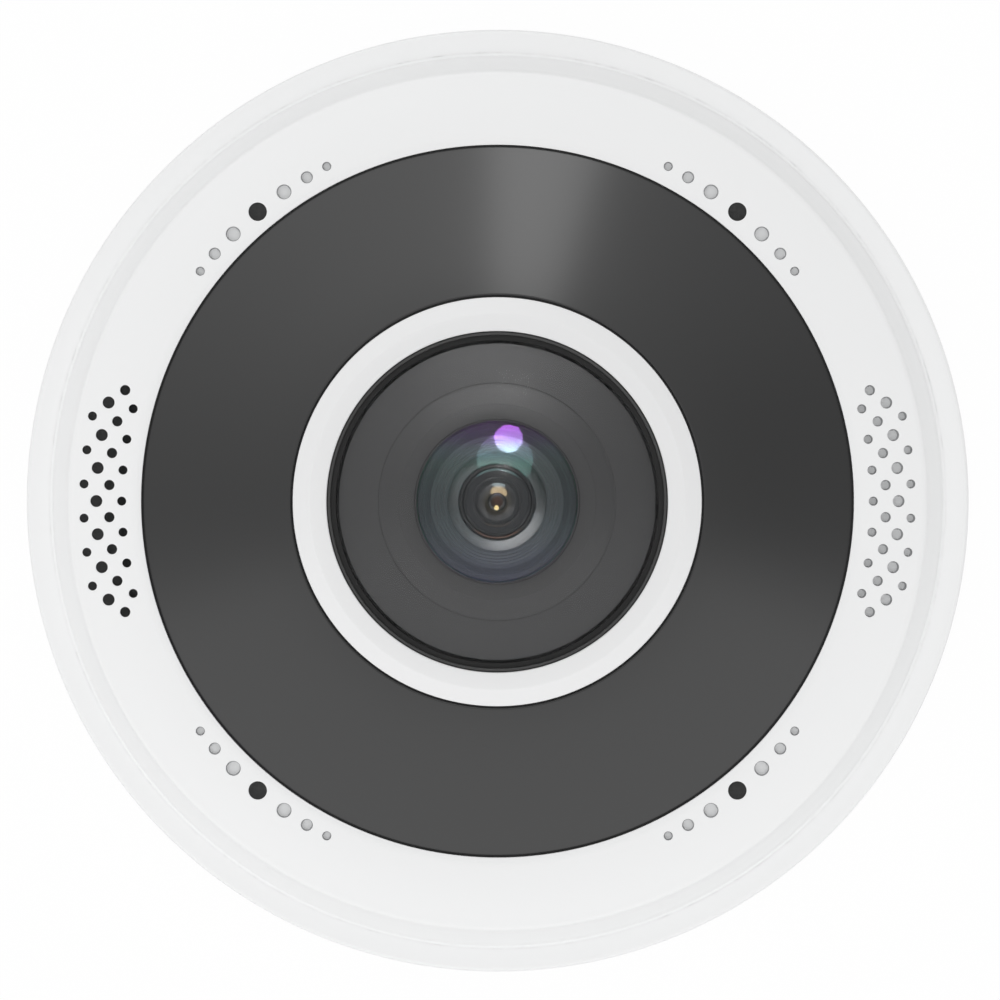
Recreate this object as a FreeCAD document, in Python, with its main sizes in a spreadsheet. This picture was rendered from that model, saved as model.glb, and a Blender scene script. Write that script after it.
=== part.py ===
import FreeCAD, Part
import math
import os
import Sketcher

# Round ceiling camera with a fisheye lens, a speaker and four microphones.
# Millimetres. The camera lies on its back: the ceiling face of its mounting
# plate is z = 0, the lens looks along +Z, and the speaker grille is at -X.

SIZES = {
    # Outer steps of the casing, from the rim inwards
    "rim_radius": 72.5,
    "rim_width": 3.7,
    "rim_wall": 2.5,
    "rim_height": 16.5,
    "rim_round": 0.6,
    "rim_chamfer": 0.3,
    "rear_gap": 0.3,
    "recess_depth": 6.0,
    "bulkhead_thickness": 2.5,
    "seam_gap": 0.15,
    "side_run": 2.35,
    "side_height": 3.8,
    "side_hollow_radius": 22.0,
    "cover_wall": 2.2,
    "cover_edge_round": 1.0,
    "face_width": 11.5,
    "face_rise": 2.0,
    "face_crown": 0.25,
    "ledge_width": 2.4,
    "ledge_thickness": 1.6,
    # Seal between the two casings
    "groove_depth": 0.9,
    "seal_width": 1.6,
    "seal_height": 1.6,
    "seal_side_gap": 0.1,
    "seal_edge": 0.4,
    # Conical infrared window
    "window_gap": 0.3,
    "window_edge_height": 1.9,
    "window_edge_drop": 0.4,
    "window_rise": 9.7,
    "window_thickness": 2.0,
    # Dome, its seal and the bezel
    "dome_radius": 24.6,
    "dome_rise": 13.2,
    "dome_wall": 1.8,
    "dome_flange_width": 4.6,
    "dome_flange_thickness": 1.3,
    "dome_straight": 1.1,
    "dome_seal_gap": 0.1,
    "dome_seal_lip": 0.9,
    "dome_seal_width": 1.4,
    "dome_seal_thickness": 0.5,
    "bezel_width": 5.4,
    "bezel_gap": 0.3,
    "bezel_outer_zone": 2.7,
    "bezel_outer_rise": 1.15,
    "bezel_inner_rise": 0.35,
    "bezel_flange": 1.3,
    "bezel_drop": 1.0,
    # Carrier of the dome and hood inside it
    "carrier_wall": 2.0,
    "carrier_inset": 0.4,
    "carrier_foot": 2.4,
    "carrier_foot_height": 1.6,
    "carrier_collar": 5.0,
    "carrier_collar_height": 1.4,
    "carrier_top_height": 1.6,
    "hood_wall": 1.0,
    "hood_foot_width": 3.0,
    "hood_foot_height": 1.2,
    "hood_slope": 0.56,
    "hood_groove": 0.35,
    "hood_inner_land": 2.2,
    "hood_inner_ring_width": 0.8,
    "hood_middle_land": 2.3,
    "hood_outer_ring_width": 0.6,
    "hood_gap": 0.3,
    # Mounting plate
    "plate_thickness": 1.5,
    "plate_gap": 3.0,
    "plate_hole_radius": 20.0,
    "channel_inner_side": 1.6,
    "channel_outer_side": 2.1,
    "plate_raise": 2.6,
    "plate_slope_run": 3.0,
    "plate_rim_width": 2.5,
    "screw_circle_radius": 30.0,
    "box_screw_radius": 41.65,
    "ceiling_screw_hole": 2.2,
    # Twist lock
    "stud_head_radius": 4.0,
    "stud_head_height": 1.3,
    "stud_head_gap": 0.3,
    "stud_neck_radius": 2.0,
    "stud_shank_radius": 1.5,
    "stud_first_angle": 30.0,
    "twist_angle": 18.0,
    "slot_clearance": 0.25,
    "entry_clearance": 0.4,
    "lock_screw_radius": 1.5,
    "lock_screw_length": 3.4,
    "lock_screw_sink": 0.4,
    "lock_screw_level": 3.2,
    # Screws that hold the casings together
    "cover_boss_sink": 0.1,
    "cover_boss_radius": 3.2,
    "cover_screw_radius": 1.25,
    "cover_screw_head": 2.3,
    "cover_screw_head_height": 1.3,
    "cover_screw_length": 9.0,
    "fit_clearance": 0.05,
    # Stack of boards
    "post_height": 9.5,
    "post_radius": 3.0,
    "post_margin": 0.5,
    "board_thickness": 1.6,
    "board_side_gap": 2.4,
    "processor_size": 14.0,
    "processor_height": 1.4,
    "memory_width": 9.0,
    "memory_length": 11.0,
    "memory_height": 1.0,
    "memory_offset": 15.0,
    "thermal_pad_thickness": 0.5,
    "chassis_thickness": 1.6,
    "chassis_window_gap": 1.5,
    "chassis_screw_radius": 1.4,
    "chassis_screw_head": 2.5,
    "chassis_screw_head_height": 1.1,
    "chassis_screw_length": 9.0,
    "led_board_margin": 2.0,
    "led_board_gap": 0.4,
    "led_board_thickness": 1.2,
    "led_inset": 3.4,
    "led_size": 3.4,
    "led_base_height": 1.0,
    "led_lens_radius": 1.5,
    "led_lens_height": 1.0,
    "light_sensor_size": 2.0,
    "light_sensor_height": 0.8,
    # Sensor board and lens holder
    "sensor_board_edge": 2.5,
    "sensor_boss_height": 1.4,
    "sensor_boss_radius": 2.3,
    "sensor_head_gap": 0.9,
    "sensor_screw_radius": 0.9,
    "sensor_screw_head": 1.9,
    "sensor_screw_head_height": 1.2,
    "sensor_half_width": 6.0,
    "sensor_half_depth": 5.0,
    "sensor_height": 1.2,
    "holder_half_width": 10.2,
    "holder_front": 6.7,
    "holder_back": 14.2,
    "holder_wall": 1.1,
    "holder_base_height": 1.8,
    "holder_floor": 0.4,
    "holder_chamber": 3.4,
    "holder_roof": 1.0,
    "holder_neck_wall": 1.8,
    "holder_neck_height": 2.6,
    # Infrared cut filter switch
    "filter_half": 2.5,
    "filter_pitch": 5.6,
    "filter_thickness": 0.4,
    "carriage_thickness": 0.8,
    "carriage_frame": 0.5,
    "carriage_lift": 0.1,
    "carriage_half_depth": 3.6,
    "carriage_tab": 2.8,
    "lever_pivot": 10.6,
    "lever_reach": 6.0,
    "lever_half_angle": 27.82,
    "lever_thickness": 0.7,
    "lever_half_width": 0.7,
    "lever_pin_radius": 0.5,
    "lever_pin_clearance": 0.1,
    "lever_gap": 0.3,
    "rotor_radius": 1.9,
    "pivot_pin_radius": 0.5,
    "coil_width": 2.6,
    "coil_depth": 4.4,
    "coil_gap": 0.4,
    # Fisheye lens
    "lens_radius": 12.6,
    "lens_head_height": 4.3,
    "lens_ring_height": 0.7,
    "lens_ring_width": 0.6,
    "lens_thread_radius": 9.0,
    "lens_bore_radius": 4.6,
    "lens_focus_gap": 0.3,
    "lens_wall": 0.5,
    "front_element_edge": 1.3,
    "front_element_rise": 4.3,
    "front_element_land": 3.9,
    "front_element_centre": 1.8,
    "front_element_sink": 0.6,
    "baffle_height": 1.7,
    "baffle_inner_radius": 7.6,
    "baffle_floor": 0.5,
    "second_ring_width": 1.7,
    "second_ring_height": 1.2,
    "second_element_edge": 0.7,
    "second_element_rise": 1.2,
    "stop_thickness": 0.5,
    "stop_hole_radius": 1.4,
    "rear_element_edge": 1.2,
    "rear_element_rise": 0.6,
    "rear_element_inset": 0.8,
    # Grille and dimples of the front cover
    "first_row_offset": 3.0,
    "row_pitch": 1.955,
    "hole_pitch_angle": 4.74,
    "small_hole": 0.7,
    "medium_hole": 0.8,
    "large_hole": 0.93,
    "dimple_depth": 1.3,
    "mic_dimple_depth": 0.9,
    "mic_angle": 50.35,
    "mic_hole": 1.43,
    "mic_dimple_one": 1.15,
    "mic_dimple_two": 0.93,
    "mic_dimple_three": 0.7,
    "mic_step_one": 5.03,
    "mic_step_two": 9.16,
    "mic_step_three": 12.62,
    # Microphones
    "mic_boss_radius": 4.9,
    "mic_boot_radius": 4.0,
    "mic_boot_height": 3.6,
    "mic_boot_wall": 1.0,
    "mic_mesh_thickness": 0.3,
    "mic_mesh_radius": 2.6,
    "mic_face_thickness": 3.0,
    "mic_capsule_height": 2.4,
    "mic_pocket_depth": 2.9,
    # Speaker
    "speaker_half_angle": 20.0,
    "speaker_wall_angle": 2.0,
    "speaker_wall": 1.2,
    "speaker_box_height": 1.7,
    "speaker_face_thickness": 2.3,
    "speaker_mesh_thickness": 0.4,
    "speaker_gasket_thickness": 0.8,
    "speaker_plate_thickness": 1.5,
    "speaker_half_length": 12.0,
    "speaker_half_width": 3.3,
    "speaker_rim": 1.2,
    "speaker_basket_wall": 0.8,
    "speaker_basket_depth": 4.8,
    "speaker_surround_width": 0.8,
    "speaker_surround_thickness": 0.4,
    "speaker_cone_gap": 0.1,
    "speaker_cone_thickness": 0.5,
    "speaker_cone_drop": 0.7,
    "voice_coil_inset": 0.5,
    "voice_coil_wall": 0.3,
    "voice_coil_height": 1.8,
    "magnet_inset": 0.3,
    # Rear connections
    "jack_half_width": 8.1,
    "jack_front": -3.2,
    "jack_back": 12.2,
    "jack_height": 13.4,
    "jack_mouth_half": 5.9,
    "jack_mouth_depth": 11.0,
    "jack_mouth_front": -0.4,
    "jack_mouth_back": 6.6,
    "jack_tab_half": 3.0,
    "jack_tab_back": 8.6,
    "cutout_gap": 0.3,
    "terminal_half_width": 5.1,
    "terminal_front": -17.0,
    "terminal_back": -9.4,
    "terminal_height": 12.0,
    "terminal_hole": 1.3,
    "terminal_hole_depth": 6.0,
    "card_left": -14.4,
    "card_right": -11.6,
    "card_front": -2.0,
    "card_back": 12.0,
    "card_height": 11.4,
    "card_slot_half": 0.5,
    "card_slot_end": 1.3,
    "card_slot_depth": 9.0,
    "reset_x": -12.6,
    "reset_y": -8.0,
    "reset_radius": 1.4,
    "reset_clearance": 0.1,
    "reset_flange_radius": 2.4,
    "reset_flange_height": 0.8,
    "reset_sink": 0.6,
    "reset_top": 5.2,
    "reset_gap": 0.6,
    "switch_half": 3.0,
    "transformer_half_width": 4.5,
    "transformer_half_length": 6.4,
    "transformer_height": 5.6,
    "transformer_x": 24.0,
    "capacitor_radius": 3.2,
    "capacitor_height": 7.6,
    "capacitor_circle": 33.0,
    "connector_half_width": 6.0,
    "connector_half_depth": 1.5,
    "connector_y": -12.2,
}

os.makedirs("parts", exist_ok=True)
doc = FreeCAD.newDocument("CeilingCamera")
sheet = doc.addObject("Spreadsheet::Sheet", "Sizes")
for row, (alias, number) in enumerate(SIZES.items(), start=1):
    sheet.set(f"A{row}", alias)
    sheet.set(f"B{row}", str(number))
    sheet.setAlias(f"B{row}", alias)
doc.recompute()


class Size:
    """A length or angle: its value now, and the sheet expression that gives it."""

    def __init__(self, value, text):
        self.value = float(value)
        self.text = text

    def __add__(self, other):
        other = as_size(other)
        return Size(self.value + other.value, f"({self.text} + {other.text})")

    def __radd__(self, other):
        return as_size(other) + self

    def __sub__(self, other):
        other = as_size(other)
        return Size(self.value - other.value, f"({self.text} - {other.text})")

    def __rsub__(self, other):
        return as_size(other) - self

    def __mul__(self, other):
        other = as_size(other)
        return Size(self.value * other.value, f"({self.text} * {other.text})")

    def __rmul__(self, other):
        return as_size(other) * self

    def __truediv__(self, other):
        other = as_size(other)
        return Size(self.value / other.value, f"({self.text} / {other.text})")

    def __neg__(self):
        return Size(-self.value, f"(0 - {self.text})")


def as_size(number):
    return number if isinstance(number, Size) else Size(number, f"({number})")


def from_sheet(alias):
    return Size(getattr(sheet, alias), f"Sizes.{alias}")


def cosine(angle):
    angle = as_size(angle)
    return Size(math.cos(math.radians(angle.value)), f"cos({angle.text})")


def sine(angle):
    angle = as_size(angle)
    return Size(math.sin(math.radians(angle.value)), f"sin({angle.text})")


def root(size):
    return Size(math.sqrt(size.value), f"sqrt({size.text})")


def polar(radius, angle):
    return radius * cosine(angle), radius * sine(angle)


def cap_radius(half_width, rise):
    """Radius of the sphere whose cap has this half width and this rise."""
    return (half_width * half_width + rise * rise) / (2 * rise)


def bind(thing, name, size):
    if isinstance(size, Size):
        thing.setExpression(name, size.text)


def fix(sketch, kind, geometry, point, size):
    """Adds one constraint and ties it to the sheet."""
    arguments = [kind, geometry, point, as_size(size).value]
    if kind == "Radius":
        arguments = [kind, geometry, as_size(size).value]
    number = sketch.addConstraint(Sketcher.Constraint(*arguments))
    bind(sketch, f"Constraints[{number}]", size)


def circle(x, y, radius):
    """A round outline."""

    def draw(sketch):
        centre = FreeCAD.Vector(as_size(x).value, as_size(y).value, 0)
        edge = Part.Circle(centre, FreeCAD.Vector(0, 0, 1), as_size(radius).value)
        geometry = sketch.addGeometry(edge, False)
        fix(sketch, "DistanceX", geometry, 3, x)
        fix(sketch, "DistanceY", geometry, 3, y)
        fix(sketch, "Radius", geometry, None, radius)

    return draw


def arc_edge(start, end, radius):
    """Short arc from start to end; it turns left where the radius is positive."""
    chord = end - start
    size = abs(radius)
    left = FreeCAD.Vector(-chord.y, chord.x, 0).normalize()
    reach = math.sqrt(max(size * size - chord.Length ** 2 / 4, 0.0))
    centre = (start + end) * 0.5 + left * (reach if radius > 0 else -reach)
    first, last = (start, end) if radius > 0 else (end, start)
    turn = [math.atan2(point.y - centre.y, point.x - centre.x) for point in (first, last)]
    ring = Part.Circle(centre, FreeCAD.Vector(0, 0, 1), size)
    return Part.ArcOfCircle(ring, turn[0], turn[1] + (2 * math.pi if turn[1] < turn[0] else 0))


def outline(points):
    """A closed outline. A third number at a point is the radius of the arc that leaves it."""

    def draw(sketch):
        places = [FreeCAD.Vector(as_size(p[0]).value, as_size(p[1]).value, 0) for p in points]
        ends = []
        for index, point in enumerate(points):
            start = places[index]
            end = places[(index + 1) % len(points)]
            radius = as_size(point[2]).value if len(point) == 3 else 0
            edge = arc_edge(start, end, radius) if radius else Part.LineSegment(start, end)
            geometry = sketch.addGeometry(edge, False)
            ends.append((geometry, 2, 1) if radius < 0 else (geometry, 1, 2))
        for index, point in enumerate(points):
            geometry, first, last = ends[index]
            following = ends[(index + 1) % len(points)]
            fix(sketch, "DistanceX", geometry, first, point[0])
            fix(sketch, "DistanceY", geometry, first, point[1])
            joined = Sketcher.Constraint("Coincident", geometry, last, following[0], following[1])
            sketch.addConstraint(joined)
            if len(point) == 3:
                size = point[2] if as_size(point[2]).value > 0 else -point[2]
                fix(sketch, "Radius", geometry, None, size)

    return draw


def box(left, front, right, back):
    """A rectangular outline."""
    return outline([(left, front), (right, front), (right, back), (left, back)])


def sector(inner, outer, middle, half_angle):
    """A piece of a flat ring, centred on the angle middle."""
    low = middle - half_angle
    high = middle + half_angle
    return outline([
        (*polar(inner, low),),
        (*polar(outer, low), outer),
        (*polar(outer, high),),
        (*polar(inner, high), -inner),
    ])


def racetrack(x, half_length, half_width, corner_share=0.8):
    """A rounded bar along Y, with its middle at x, drawn with four corner arcs."""
    corner = half_width * corner_share
    left = x - half_width
    right = x + half_width
    return outline([
        (left + corner, -half_length),
        (right - corner, -half_length, corner),
        (right, corner - half_length),
        (right, half_length - corner, corner),
        (right - corner, half_length),
        (left + corner, half_length, corner),
        (left, half_length - corner),
        (left, corner - half_length, corner),
    ])


class Piece:
    """One sub-part, built up from turned, raised and cut outlines."""

    def __init__(self, name):
        self.name = name
        self.body = doc.addObject("PartDesign::Body", name)
        self.body.Label = name
        self.body.Placement = FreeCAD.Placement()
        self.count = 0
        pieces.append(self)

    def sketch(self, role, shapes, level=None):
        self.count += 1
        sketch = self.body.newObject("Sketcher::SketchObject", f"{self.name}_outline{self.count}")
        plane = [item for item in self.body.Origin.OriginFeatures if item.Role == role][0]
        sketch.AttachmentSupport = [(plane, "")]
        sketch.MapMode = "FlatFace"
        if level is not None:
            lift = FreeCAD.Vector(0, 0, as_size(level).value)
            sketch.AttachmentOffset = FreeCAD.Placement(lift, FreeCAD.Rotation())
            bind(sketch, "AttachmentOffset.Base.z", level)
        for shape in shapes:
            shape(sketch)
        return sketch

    def turn(self, points):
        """A full turn about the lens axis of a profile of (radius, height) points."""
        profile = self.sketch("XZ_Plane", [outline(points)])
        feature = self.body.newObject("PartDesign::Revolution", f"{self.name}_turn{self.count}")
        feature.Profile = profile
        feature.ReferenceAxis = (profile, ["V_Axis"])
        feature.Angle = 360
        self.body.Tip = feature
        return self

    def pad(self, shapes, bottom, top):
        """Outlines on a level, raised to a higher level."""
        profile = self.sketch("XY_Plane", shapes, bottom)
        feature = self.body.newObject("PartDesign::Pad", f"{self.name}_pad{self.count}")
        feature.Profile = profile
        feature.Length = (as_size(top) - bottom).value
        bind(feature, "Length", as_size(top) - bottom)
        self.body.Tip = feature
        return self

    def cut(self, shapes, bottom, top):
        """Outlines on a level, cut down to a lower level."""
        profile = self.sketch("XY_Plane", shapes, top)
        feature = self.body.newObject("PartDesign::Pocket", f"{self.name}_cut{self.count}")
        feature.Profile = profile
        feature.Length = (as_size(top) - bottom).value
        bind(feature, "Length", as_size(top) - bottom)
        self.body.Tip = feature
        return self


pieces = []
s = type("SheetSizes", (), {alias: from_sheet(alias) for alias in SIZES})

# Levels and radii that more than one piece uses

bulkhead_under = s.recess_depth
bulkhead_top = bulkhead_under + s.bulkhead_thickness
recess_radius = s.rim_radius - s.rim_wall
rim_inside = s.rim_radius - s.rim_width
cover_radius = rim_inside - s.seam_gap
cover_inside = cover_radius - s.cover_wall
face_radius = cover_radius - s.side_run
cover_bore = face_radius - s.face_width
window_radius = cover_bore - s.window_gap
seal_bottom = bulkhead_top - s.groove_depth
cover_bottom = seal_bottom + s.seal_height
face_edge_top = s.rim_height + s.side_height
face_low = face_edge_top + s.cover_edge_round
face_high = face_low + s.face_rise
ledge_top = face_high - s.window_edge_drop - s.window_edge_height
ledge_under = ledge_top - s.ledge_thickness
ledge_bore = cover_bore - s.ledge_width

row_radii = [cover_bore + s.first_row_offset + s.row_pitch * index for index in range(4)]
face_inside = face_radius - s.cover_wall

bezel_bore = s.dome_radius + s.dome_seal_gap + s.dome_seal_width + s.dome_seal_gap
bezel_radius = bezel_bore + s.bezel_width
window_bore = bezel_radius + s.bezel_gap
window_edge_top = ledge_top + s.window_edge_height
window_top = window_edge_top + s.window_rise
window_slope = s.window_rise / (window_radius - window_bore)
window_depth = s.window_thickness * root(1 + window_slope * window_slope)


def window_underside(radius):
    return window_edge_top + (window_radius - radius) * window_slope - window_depth


def window_reach(level):
    """The radius at which the window's underside is at this level."""
    return window_radius - (level + window_depth - window_edge_top) / window_slope


board_under = bulkhead_top + s.post_height
board_top = board_under + s.board_thickness
pad_under = board_top + s.processor_height
chassis_under = pad_under + s.thermal_pad_thickness
chassis_top = chassis_under + s.chassis_thickness
chassis_radius = window_reach(chassis_top + s.chassis_window_gap)
post_circle = chassis_radius - s.post_radius - s.post_margin
board_radius = row_radii[0] - s.mic_boss_radius - s.board_side_gap
sensor_board_under = chassis_top + s.sensor_boss_height
sensor_board_top = sensor_board_under + s.board_thickness
chamber_floor = sensor_board_top + s.holder_base_height
chamber_top = chamber_floor + s.holder_chamber
holder_top = chamber_top + s.holder_roof
neck_top = holder_top + s.holder_neck_height

carrier_top = window_top - s.bezel_drop
shoulder_top = carrier_top - s.carrier_foot_height / 2
flange_top = carrier_top + s.dome_flange_thickness
flange_radius = s.dome_radius + s.dome_flange_width
carrier_radius = flange_radius - s.carrier_inset
carrier_inside = carrier_radius - s.carrier_wall
dome_spring = flange_top + s.dome_straight
dome_top = dome_spring + s.dome_rise
bezel_seat = flange_top + s.dome_seal_thickness
hood_radius = s.dome_radius - s.dome_wall - s.dome_seal_gap * 3
carrier_bore = hood_radius - s.hood_foot_width
lens_collar = neck_top + s.lens_focus_gap
lens_top = lens_collar + s.lens_head_height
front_element_radius = s.lens_radius - s.lens_wall
element_seat = lens_top - s.front_element_sink - s.front_element_edge


def face_level(radius):
    """Height of the crowned front face at a radius."""
    share = (radius - cover_bore) / s.face_width
    return face_high - s.face_rise * share + 4 * s.face_crown * share * (1 - share)


def ring_places(radius, angles):
    return [polar(radius, angle) for angle in angles]


def circles(places, radius):
    return [circle(x, y, radius) for x, y in places]


# Mounting plate: a pressed steel dish with three keyholes

plate_radius = recess_radius - s.plate_gap
plate_rim = plate_radius - s.plate_rim_width
entry_radius = s.stud_head_radius + s.entry_clearance
raised_edge = plate_rim - s.plate_slope_run
stud_circle = raised_edge - s.channel_outer_side - entry_radius
web_edge = stud_circle - entry_radius - s.channel_inner_side
web_radius = web_edge - s.plate_slope_run
raised_top = s.plate_raise + s.plate_thickness
stud_angles = [s.stud_first_angle + 120 * index for index in range(3)]
slot_half = s.stud_neck_radius + s.slot_clearance
above_plate = raised_top + s.plate_thickness

plate = Piece("mounting_plate")
plate.turn([
    (s.plate_hole_radius, 0),
    (web_radius, 0),
    (web_edge, s.plate_raise),
    (raised_edge, s.plate_raise),
    (plate_rim, 0),
    (plate_radius, 0),
    (plate_radius, s.plate_thickness),
    (plate_rim, s.plate_thickness),
    (raised_edge, raised_top),
    (web_edge, raised_top),
    (web_radius, s.plate_thickness),
    (s.plate_hole_radius, s.plate_thickness),
])
plate.cut([
    sector(stud_circle - slot_half, stud_circle + slot_half,
           angle + s.twist_angle / 2, s.twist_angle / 2)
    for angle in stud_angles
], 0, above_plate)
plate.cut(
    circles(ring_places(stud_circle, stud_angles), slot_half)
    + circles(ring_places(stud_circle, [angle + s.twist_angle for angle in stud_angles]),
              entry_radius)
    + circles(ring_places(s.screw_circle_radius, [45, 135, 225, 315]), s.ceiling_screw_hole)
    + circles(ring_places(s.box_screw_radius, [0, 180]), s.ceiling_screw_hole),
    -s.plate_thickness, above_plate)

# Rear housing: rim, bulkhead and the posts under the main board

post_places = ring_places(post_circle, [45, 135, 225, 315])
cover_screw_circle = face_inside - s.cover_boss_radius + s.cover_boss_sink
cover_screw_places = ring_places(cover_screw_circle, [0, 120, 240])
stud_places = ring_places(stud_circle, stud_angles)
groove_outer = cover_radius - s.seal_edge + s.seal_side_gap
groove_inner = groove_outer - s.seal_width - s.seal_side_gap * 2
through = s.fit_clearance * 10

housing = Piece("rear_housing")
housing.turn([
    (0, bulkhead_under),
    (recess_radius, bulkhead_under),
    (recess_radius, s.rear_gap),
    (s.rim_radius - s.rim_chamfer, s.rear_gap),
    (s.rim_radius, s.rear_gap + s.rim_chamfer),
    (s.rim_radius, s.rim_height - s.rim_round, s.rim_round),
    (s.rim_radius - s.rim_round, s.rim_height),
    (rim_inside, s.rim_height),
    (rim_inside, bulkhead_top),
    (groove_outer, bulkhead_top),
    (groove_outer, seal_bottom),
    (groove_inner, seal_bottom),
    (groove_inner, bulkhead_top),
    (0, bulkhead_top),
])
housing.pad(circles(post_places, s.post_radius), bulkhead_top, board_under)
housing.cut(circles(post_places, s.chassis_screw_radius),
            board_under - s.chassis_screw_length, board_under)
housing.cut(circles(stud_places, s.stud_shank_radius + s.fit_clearance)
            + circles(cover_screw_places, s.cover_screw_radius + s.fit_clearance)
            + [circle(s.reset_x, s.reset_y, s.reset_radius + s.reset_clearance)]
            + [box(-s.jack_half_width - s.cutout_gap, s.jack_front - s.cutout_gap,
                   s.jack_half_width + s.cutout_gap, s.jack_back + s.cutout_gap)]
            + [box(-s.terminal_half_width - s.cutout_gap, s.terminal_front - s.cutout_gap,
                   s.terminal_half_width + s.cutout_gap, s.terminal_back + s.cutout_gap)]
            + [box(s.card_left - s.cutout_gap, s.card_front - s.cutout_gap,
                   s.card_right + s.cutout_gap, s.card_back + s.cutout_gap)],
            bulkhead_under - through, bulkhead_top + through)
housing.cut(circles(cover_screw_places, s.cover_screw_head + s.fit_clearance * 2),
            bulkhead_under - through, bulkhead_under + s.cover_screw_head_height)

# The lock screw lies along Y in the rim, so its hole is cut from the side


def side_feature(piece, kind, radius, start, end):
    """A round boss or hole along Y in the rim, from start to end measured outwards."""
    profile = piece.sketch("XZ_Plane", [circle(0, s.lock_screw_level, radius)], start)
    feature = piece.body.newObject(f"PartDesign::{kind}", f"{piece.name}_side{piece.count}")
    feature.Profile = profile
    feature.Length = (end - start).value
    bind(feature, "Length", end - start)
    if kind == "Pocket":
        feature.Reversed = True
    piece.body.Tip = feature


side_feature(housing, "Pocket", s.lock_screw_radius + s.fit_clearance,
             recess_radius - s.rim_wall / 2, s.rim_radius + s.rim_wall / 2)

screw_outer = s.rim_radius - s.lock_screw_sink
lock_screw = Piece("lock_screw")
side_feature(lock_screw, "Pad", s.lock_screw_radius,
             screw_outer - s.lock_screw_length, screw_outer)

studs = Piece("lock_studs")
stud_head_top = s.plate_raise - s.stud_head_gap
studs.pad(circles(stud_places, s.stud_head_radius),
          stud_head_top - s.stud_head_height, stud_head_top)
studs.pad(circles(stud_places, s.stud_neck_radius), stud_head_top, bulkhead_under)
studs.pad(circles(stud_places, s.stud_shank_radius), bulkhead_under, bulkhead_top)

# Front cover: skirt, hollow side, crowned face and the ledge of the window

inside_corner = face_edge_top - s.cover_wall / 2
ledge_corner = cover_bore + s.cover_wall / 3
face_arc = cap_radius((s.face_width - s.cover_edge_round) / 2, s.face_crown)
face_pocket = face_level(face_inside) - s.cover_wall
ledge_pocket = face_level(ledge_corner) - s.cover_wall

cover = Piece("front_cover")
cover.turn([
    (cover_inside, cover_bottom),
    (cover_radius, cover_bottom),
    (cover_radius, s.rim_height, -s.side_hollow_radius),
    (face_radius, face_edge_top, s.cover_edge_round),
    (face_radius - s.cover_edge_round, face_low, face_arc),
    (cover_bore, face_high),
    (cover_bore, ledge_top),
    (ledge_bore, ledge_top),
    (ledge_bore, ledge_under),
    (ledge_corner, ledge_under),
    (ledge_corner + s.cover_wall / 4, ledge_pocket),
    (face_inside - s.cover_edge_round / 2, face_pocket),
    (face_inside, inside_corner),
    (cover_inside, s.rim_height),
])

mic_angles = [s.mic_angle, 180 - s.mic_angle, 180 + s.mic_angle, 360 - s.mic_angle]
mic_places = ring_places(row_radii[0], mic_angles)
mic_pocket_top = face_level(row_radii[0]) - s.mic_face_thickness
mic_boss_bottom = mic_pocket_top - s.mic_pocket_depth
box_inner = row_radii[0] - s.small_hole - s.speaker_wall - s.fit_clearance * 4
box_outer = row_radii[3] + s.small_hole + s.speaker_wall
speaker_roof = face_level(row_radii[3]) - s.speaker_face_thickness
speaker_seat = speaker_roof - s.speaker_box_height
cavity_inner = box_inner + s.speaker_wall
cavity_outer = row_radii[3] + s.small_hole + s.fit_clearance
cavity_half = s.speaker_half_angle - s.speaker_wall_angle
inside_face = face_level(face_inside) - s.cover_wall / 3

cover.pad(circles(cover_screw_places, s.cover_boss_radius), bulkhead_top, inside_face)
cover.pad([sector(box_inner, box_outer, 180, s.speaker_half_angle)], speaker_seat, inside_face)
cover.pad(circles(mic_places, s.mic_boss_radius), mic_boss_bottom, ledge_top)
cover.cut(circles(cover_screw_places, s.cover_screw_radius),
          bulkhead_top - through, bulkhead_top + s.cover_screw_length)
cover.cut([sector(cavity_inner, cavity_outer, 180, cavity_half)],
          speaker_seat - through, speaker_roof)
cover.cut(circles(mic_places, s.mic_boot_radius + s.fit_clearance),
          mic_boss_bottom - through, mic_pocket_top)

# Rows of holes: 28 go through at the speaker, 28 are dimples on the other side

row_steps = [
    [-3, -2, -1, 0, 1, 2, 3],
    [-3.5, -2.5, -1.5, -0.5, 0.5, 1.5, 2.5, 3.5],
    [-3, -2, -1, 0, 1, 2, 3],
    [-2.5, -1.5, -0.5, 0.5, 1.5, 2.5],
]
row_holes = [s.small_hole, s.medium_hole, s.large_hole, s.small_hole]
above_face = face_high + through

grille = []
for radius, steps, hole in zip(row_radii, row_steps, row_holes):
    grille += circles(ring_places(radius, [180 + s.hole_pitch_angle * n for n in steps]), hole)
    dimples = circles(ring_places(radius, [s.hole_pitch_angle * n for n in steps]), hole)
    cover.cut(dimples, face_level(radius) - s.dimple_depth, above_face)
cover.cut(grille, speaker_roof - through, above_face)
cover.cut(circles(mic_places, s.mic_hole), mic_pocket_top - through, above_face)

mic_dimples = []
for angle in mic_angles:
    for step, hole in ((s.mic_step_one, s.mic_dimple_one), (s.mic_step_two, s.mic_dimple_two),
                       (s.mic_step_three, s.mic_dimple_three)):
        mic_dimples += circles(ring_places(row_radii[0], [angle - step, angle + step]), hole)
cover.cut(mic_dimples, face_level(row_radii[0]) - s.mic_dimple_depth, above_face)

seal = Piece("housing_seal")
seal.turn([
    (groove_inner + s.seal_side_gap, seal_bottom),
    (groove_outer - s.seal_side_gap, seal_bottom),
    (groove_outer - s.seal_side_gap, cover_bottom),
    (groove_inner + s.seal_side_gap, cover_bottom),
])

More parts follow.
